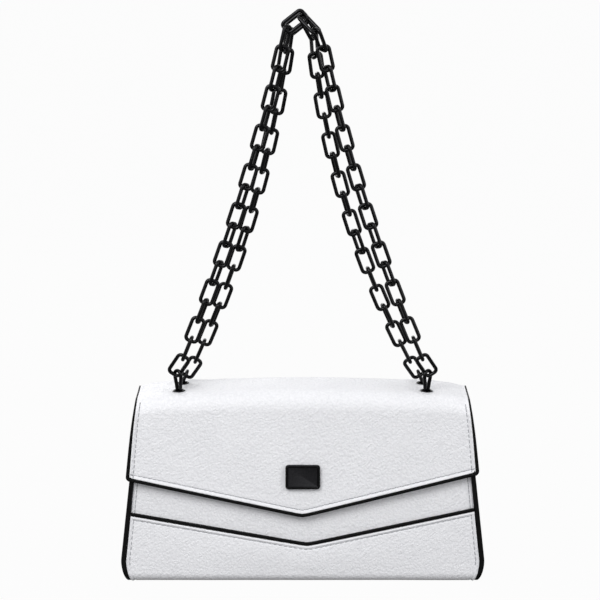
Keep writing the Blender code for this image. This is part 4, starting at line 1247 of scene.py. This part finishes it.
def chain(name, node, pivot_point, apex_place, falls, sags, turns, out_sign, body, foot_side, foot_way):
    """Chain between the two pivots with its apex given; its plane leans about the pivot line."""
    apex_side, apex_height, apex_depth = apex_place
    pivot = Vector((0.0, pivot_point.y, pivot_point.z))
    lean = math.atan2(apex_depth - pivot.y, apex_height - pivot.z)
    span = abs(pivot_point.x)
    rise = math.hypot(apex_depth - pivot.y, apex_height - pivot.z)
    open_step = LINK_LONG - 2.0 * LINK_SEAT
    tilt = Vector((math.cos(APEX_TILT), math.sin(APEX_TILT)))
    apex = Vector((apex_side, rise))
    low = apex - tilt * open_step / 2.0
    high = apex + tilt * open_step / 2.0
    flat_fall = math.sqrt(LINK_LONG ** 2 - STEP_OUT ** 2)
    fall = high + Vector((math.cos(falls[0]), -math.sin(falls[0]))) * flat_fall
    flat_after = math.sqrt(LINK_PITCH ** 2 - STEP_OUT ** 2)
    after = fall + Vector((math.cos(falls[1]), -math.sin(falls[1]))) * flat_after
    first_way = Vector((math.sin(FIRST_TILT), math.cos(FIRST_TILT)))
    first_side = Vector((first_way.y, -first_way.x))
    flat, sunk = math.cos(FIRST_LEAN), -math.sin(FIRST_LEAN)
    middle = Vector((-span, 0.0)) - first_side * foot_side + first_way * flat * foot_way
    first_low = middle - first_way * flat * LINK_LONG / 2.0
    first_high = middle + first_way * flat * LINK_LONG / 2.0
    out_low, out_high = (sunk * (foot_way + share * LINK_LONG / 2.0) for share in (-1.0, 1.0))
    knee = first_high - first_way * flat * LINK_SEAT
    knee_out = out_high - sunk * LINK_SEAT
    end = Vector((-after.x, after.y))
    left = strand(knee, low, full_steps((low - knee).length, open_step, LINK_LONG), sags[0])
    right = strand(knee, end, full_steps((end - knee).length, open_step, 0.0), sags[1])

    def spread(point, out=0.0):
        return Vector((point.x, out, point.y))

    def hung(points):
        """Links of a strand from the bottom up, which turns back into the chain's plane."""
        last = len(points) - 1
        outs = [knee_out * (1.0 - k / last) ** 2 for k in range(last + 1)]
        made = []
        for k in range(last):
            face_on = k % 2 == 1
            seat = LINK_SEAT if face_on else 0.0
            turn = 0.0 if face_on else math.radians(turns[k // 2 % len(turns)])
            made.append((spread(points[k], outs[k]), spread(points[k + 1], outs[k + 1]), seat, seat, turn))
        return made

    links = [(spread(first_low, out_low), spread(first_high, out_high), 0.0, 0.0, 0.0)] + hung(left)
    step_out = out_sign * STEP_OUT
    links.append((spread(low), spread(high), LINK_SEAT, LINK_SEAT, 0.0))
    links.append((spread(high), spread(fall, step_out), 0.0, 0.0, 2.0 * LINK_TURN))
    links.append((spread(fall, step_out), spread(after), LINK_SEAT, 0.0, LINK_TURN))
    for near, far, near_seat, far_seat, turn in hung(right):
        near, far = (Vector((-p.x, p.y, p.z)) for p in (near, far))
        links.append((far, near, far_seat, near_seat, turn))
    links.append((spread(Vector((-first_high.x, first_high.y)), out_high),
                  spread(Vector((-first_low.x, first_low.y)), out_low), 0.0, 0.0, 0.0))
    place = Matrix.Translation(pivot) @ Matrix.Rotation(-lean, 4, "X")
    turn = place.to_3x3()
    verts, faces = [], []
    for link in links:
        path, frames = link_path(*link)
        add_tube(verts, faces, [place @ p for p in path],
                 [(turn @ a, turn @ b) for a, b in frames], WIRE / 2.0, 12, closed=True)
    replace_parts(finish_mesh(name, verts, faces, gunmetal, body, crease=70.0), node)


corner = LINK_ROUND * math.sqrt(0.5)
chain("front_link_chain", "front_chain", pivots["front_right"], FRONT_APEX, FRONT_FALLS, FRONT_SAGS,
      FRONT_TURNS, -1.0, "front_strap", LINK_HALF_WIDE - LINK_ROUND + corner,
      LINK_LONG / 2.0 - LINK_ROUND + corner)
chain("rear_link_chain", "rear_chain", pivots["rear_right"], REAR_APEX, REAR_FALLS, REAR_SAGS,
      REAR_TURNS, 1.0, "rear_strap", 0.0, LINK_LONG / 2.0)

# Plate on the flap: bevelled edge, narrow rim and a sunk brushed field.

front_up = Vector((0.0, math.sin(WALL_LEAN), math.cos(WALL_LEAN)))


def wall_frame(origin, up):
    turn = Matrix((Vector((1.0, 0.0, 0.0)), up.cross(Vector((1.0, 0.0, 0.0))), up)).transposed()
    return Matrix.Translation(origin) @ turn.to_4x4()


def rounded_box(half_x, half_z, radius, steps=6):
    line = []
    for cx, cz, start in ((1, 1, 0.0), (-1, 1, 0.5), (-1, -1, 1.0), (1, -1, 1.5)):
        for k in range(steps + 1):
            a = math.pi * (start + 0.5 * k / steps)
            line.append((cx * (half_x - radius) + radius * math.cos(a),
                         cz * (half_z - radius) + radius * math.sin(a)))
    return line


def stacked(frame_at, half_x, half_z, radius, least, layers, closed=False):
    """Points and faces of rounded outlines, each at an inset and a distance outwards."""
    verts, faces = [], []
    for shrink, out in layers:
        ring = rounded_box(half_x - shrink, half_z - shrink, max(least, radius - shrink))
        verts += [frame_at @ Vector((x, -out, z)) for x, z in ring]
    join_rings(faces, 0, len(layers), len(verts) // len(layers), closed)
    return verts, faces


def layered(name, frame_at, half_x, half_z, radius, layers, materials, body):
    """Plate of stacked outlines; a second material covers its front."""
    verts, faces = stacked(frame_at, half_x, half_z, radius, 0.0002, layers)
    piece = finish_mesh(name, verts, faces, materials[0], body, crease=25.0)
    if len(materials) > 1:
        piece.data.materials.append(materials[1])
        piece.data.polygons[len(faces) - 1].material_index = 1
    return piece


plate_origin = Vector((0.0, -half_depth - (FLAP_STANDOFF + GAP) / math.cos(WALL_LEAN)
                       + wall_shift(PLAQUE_HEIGHT), PLAQUE_HEIGHT))
plate_frame = wall_frame(plate_origin, front_up)
rim_in = 0.0016
piece = layered("plain_plate", plate_frame, PLAQUE_WIDE / 2.0, PLAQUE_TALL / 2.0, PLAQUE_ROUND,
                [(0.0, 0.0), (0.0, 0.0021), (0.00012, 0.0024), (0.0004, 0.0027), (0.0007, PLAQUE_THICK),
                 (rim_in, PLAQUE_THICK), (rim_in + 0.0002, 0.0027), (rim_in + 0.0005, 0.0022),
                 (rim_in + 0.0007, 0.0021)], [gunmetal, dull_metal], "flap")
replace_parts(piece, "plaque")

# Zip of the inner pocket.

back_up = Vector((0.0, -math.sin(WALL_LEAN), math.cos(WALL_LEAN)))
wall_face = lining_depth + LINING_THICK + GAP
zip_depth = half_depth - wall_face / math.cos(WALL_LEAN) - wall_shift(ZIP_HEIGHT)
zip_origin = Vector((0.0, zip_depth, ZIP_HEIGHT))
zip_frame = wall_frame(zip_origin, back_up)


def ring_plate(name, frame_at, half_x, half_z, radius, rim, thick, material, body):
    """Flat frame with rounded edges round an oblong window."""
    loops = [(0.0, 0.0), (0.0, thick * 0.55), (thick * 0.3, thick), (rim - thick * 0.3, thick),
             (rim, thick * 0.55), (rim, 0.0)]
    verts, faces = stacked(frame_at, half_x, half_z, radius, 0.0004, loops, closed=True)
    return finish_mesh(name, verts, faces, material, body)


piece = ring_plate("zip_frame_leather", zip_frame, ZIP_LONG / 2.0, ZIP_WIDE / 2.0, 0.0006, WELT_RIM,
                   WELT_THICK, black, "bag_body")
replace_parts(piece, "zip_welt")
tape_in = WELT_RIM + GAP
piece = layered("zip_woven_tape", zip_frame, ZIP_LONG / 2.0 - tape_in, ZIP_WIDE / 2.0 - tape_in, 0.0004,
                [(0.0, 0.0), (0.0, TAPE_THICK * 0.7), (0.0002, TAPE_THICK)], [tape_look], "bag_body")
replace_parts(piece, "zip_tape")
teeth_verts, teeth_faces = [], []
tooth_pitch = 0.0021
teeth_from = TAPE_THICK + GAP
teeth_count = int(TEETH_LONG / tooth_pitch)
for k in range(teeth_count):
    x = (k - (teeth_count - 1) / 2.0) * tooth_pitch
    shift = 0.0006 if k % 2 else -0.0006
    base = len(teeth_verts)
    for dx, dz, out in ((0.0007, 0.0011, 0.0), (0.0008, 0.0013, TEETH_THICK * 0.5),
                        (0.0005, 0.0009, TEETH_THICK)):
        teeth_verts += [zip_frame @ Vector((x + sx * dx, -teeth_from - out, shift + sz * dz))
                        for sx, sz in ((-1, -1), (1, -1), (1, 1), (-1, 1))]
    join_rings(teeth_faces, base, 3, 4)
piece = finish_mesh("zip_teeth_row", teeth_verts, teeth_faces, gunmetal, "bag_body")
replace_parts(piece, "zip_teeth")

# Solids that stay get their real finish.


def dress(name, material):
    data = nodes[name].data
    if not data.materials:
        data.materials.append(material)
    for slot in nodes[name].material_slots:
        slot.material = material


for name in ("back_board", "base_board"):
    dress(name, board_look)
for name in ("clasp_plate_front", "clasp_plate_flap"):
    dress(name, steel)
for name in nodes:
    if name.startswith("zip_stop") or name in ("zip_slider", "zip_pull"):
        dress(name, gunmetal)

# Floor, background, light and camera

floor_verts = [(-30.0, -8.0, 0.0), (30.0, -8.0, 0.0), (30.0, 60.0, 0.0), (-30.0, 60.0, 0.0)]
floor_look = bpy.data.materials.new("pale_studio_floor")
floor_look.use_nodes = True
tree = floor_look.node_tree
shader = tree.nodes["Principled BSDF"]
shader.inputs["Base Color"].default_value = srgb("#9A9A9A")
shader.inputs["Roughness"].default_value = 0.9
shader.inputs["Specular IOR Level"].default_value = 0.0
glow = put(tree, "Emission", Color=srgb("#FEFEFE"), Strength=1.0)
ray = put(tree, "LightPath").outputs["Is Camera Ray"]
share = put(tree, "Math", {"operation": "MULTIPLY"}, i0=ray, i1=0.975).outputs[0]
mixed = put(tree, "MixShader", i0=share, i1=shader.outputs[0], i2=glow.outputs[0])
tree.links.new(mixed.outputs[0], tree.nodes["Material Output"].inputs["Surface"])
floor = finish_mesh("floor", floor_verts, [(0, 1, 2, 3)], floor_look, flat=True)
floor.location.z = -0.00015

world = scene.world or bpy.data.worlds.new("studio")
scene.world = world
world.use_nodes = True
tree = world.node_tree
for item in list(tree.nodes):
    tree.nodes.remove(item)
light_path = put(tree, "LightPath")
seen = put(tree, "Math", {"operation": "MAXIMUM"}, i0=light_path.outputs["Is Camera Ray"],
           i1=light_path.outputs["Is Glossy Ray"])
seen = put(tree, "Math", {"operation": "MAXIMUM"}, i0=seen.outputs[0],
           i1=light_path.outputs["Is Transmission Ray"])
soft = put(tree, "Background", Color=srgb("#F5F6F9"), Strength=0.60)
pale = put(tree, "Background", Color=srgb("#FEFEFE"), Strength=1.0)
mixed = put(tree, "MixShader", i0=seen.outputs[0], i1=soft.outputs[0], i2=pale.outputs[0])
end = tree.nodes.new("ShaderNodeOutputWorld")
tree.links.new(mixed.outputs[0], end.inputs["Surface"])


def area_light(name, place, target, size, power):
    data = bpy.data.lights.new(name, "AREA")
    data.shape = "RECTANGLE"
    data.size, data.size_y = size
    data.energy = power
    lamp = bpy.data.objects.new(name, data)
    lamp.location = place
    lamp.rotation_euler = (Vector(target) - Vector(place)).to_track_quat("-Z", "Y").to_euler()
    scene.collection.objects.link(lamp)
    return lamp


area_light("key_softbox", (-0.6, -1.1, 1.15), (0.0, 0.0, 0.15), (0.9, 0.9), 15.0)
area_light("fill_softbox", (1.5, -1.1, 0.9), (0.0, 0.0, 0.15), (0.9, 1.4), 10.0)
area_light("top_softbox", (0.1, 0.3, 1.9), (0.0, 0.0, 0.1), (1.4, 1.0), 3.0)
area_light("rear_softbox", (-0.7, 1.6, 1.0), (0.0, 0.0, 0.15), (1.2, 0.9), 6.0)

ELEVATION = math.radians(9.0)
DISTANCE = 1.84
camera_data = bpy.data.cameras.new("photo_camera")
camera_data.sensor_width = 36.0
camera_data.lens = 142.7
camera = bpy.data.objects.new("photo_camera", camera_data)
camera.location = (-0.0021, -DISTANCE * math.cos(ELEVATION), 0.2140 + DISTANCE * math.sin(ELEVATION))
camera.rotation_euler = (math.pi / 2.0 - ELEVATION, 0.0, 0.0)
scene.collection.objects.link(camera)
scene.camera = camera
scene.view_settings.view_transform = "Standard"
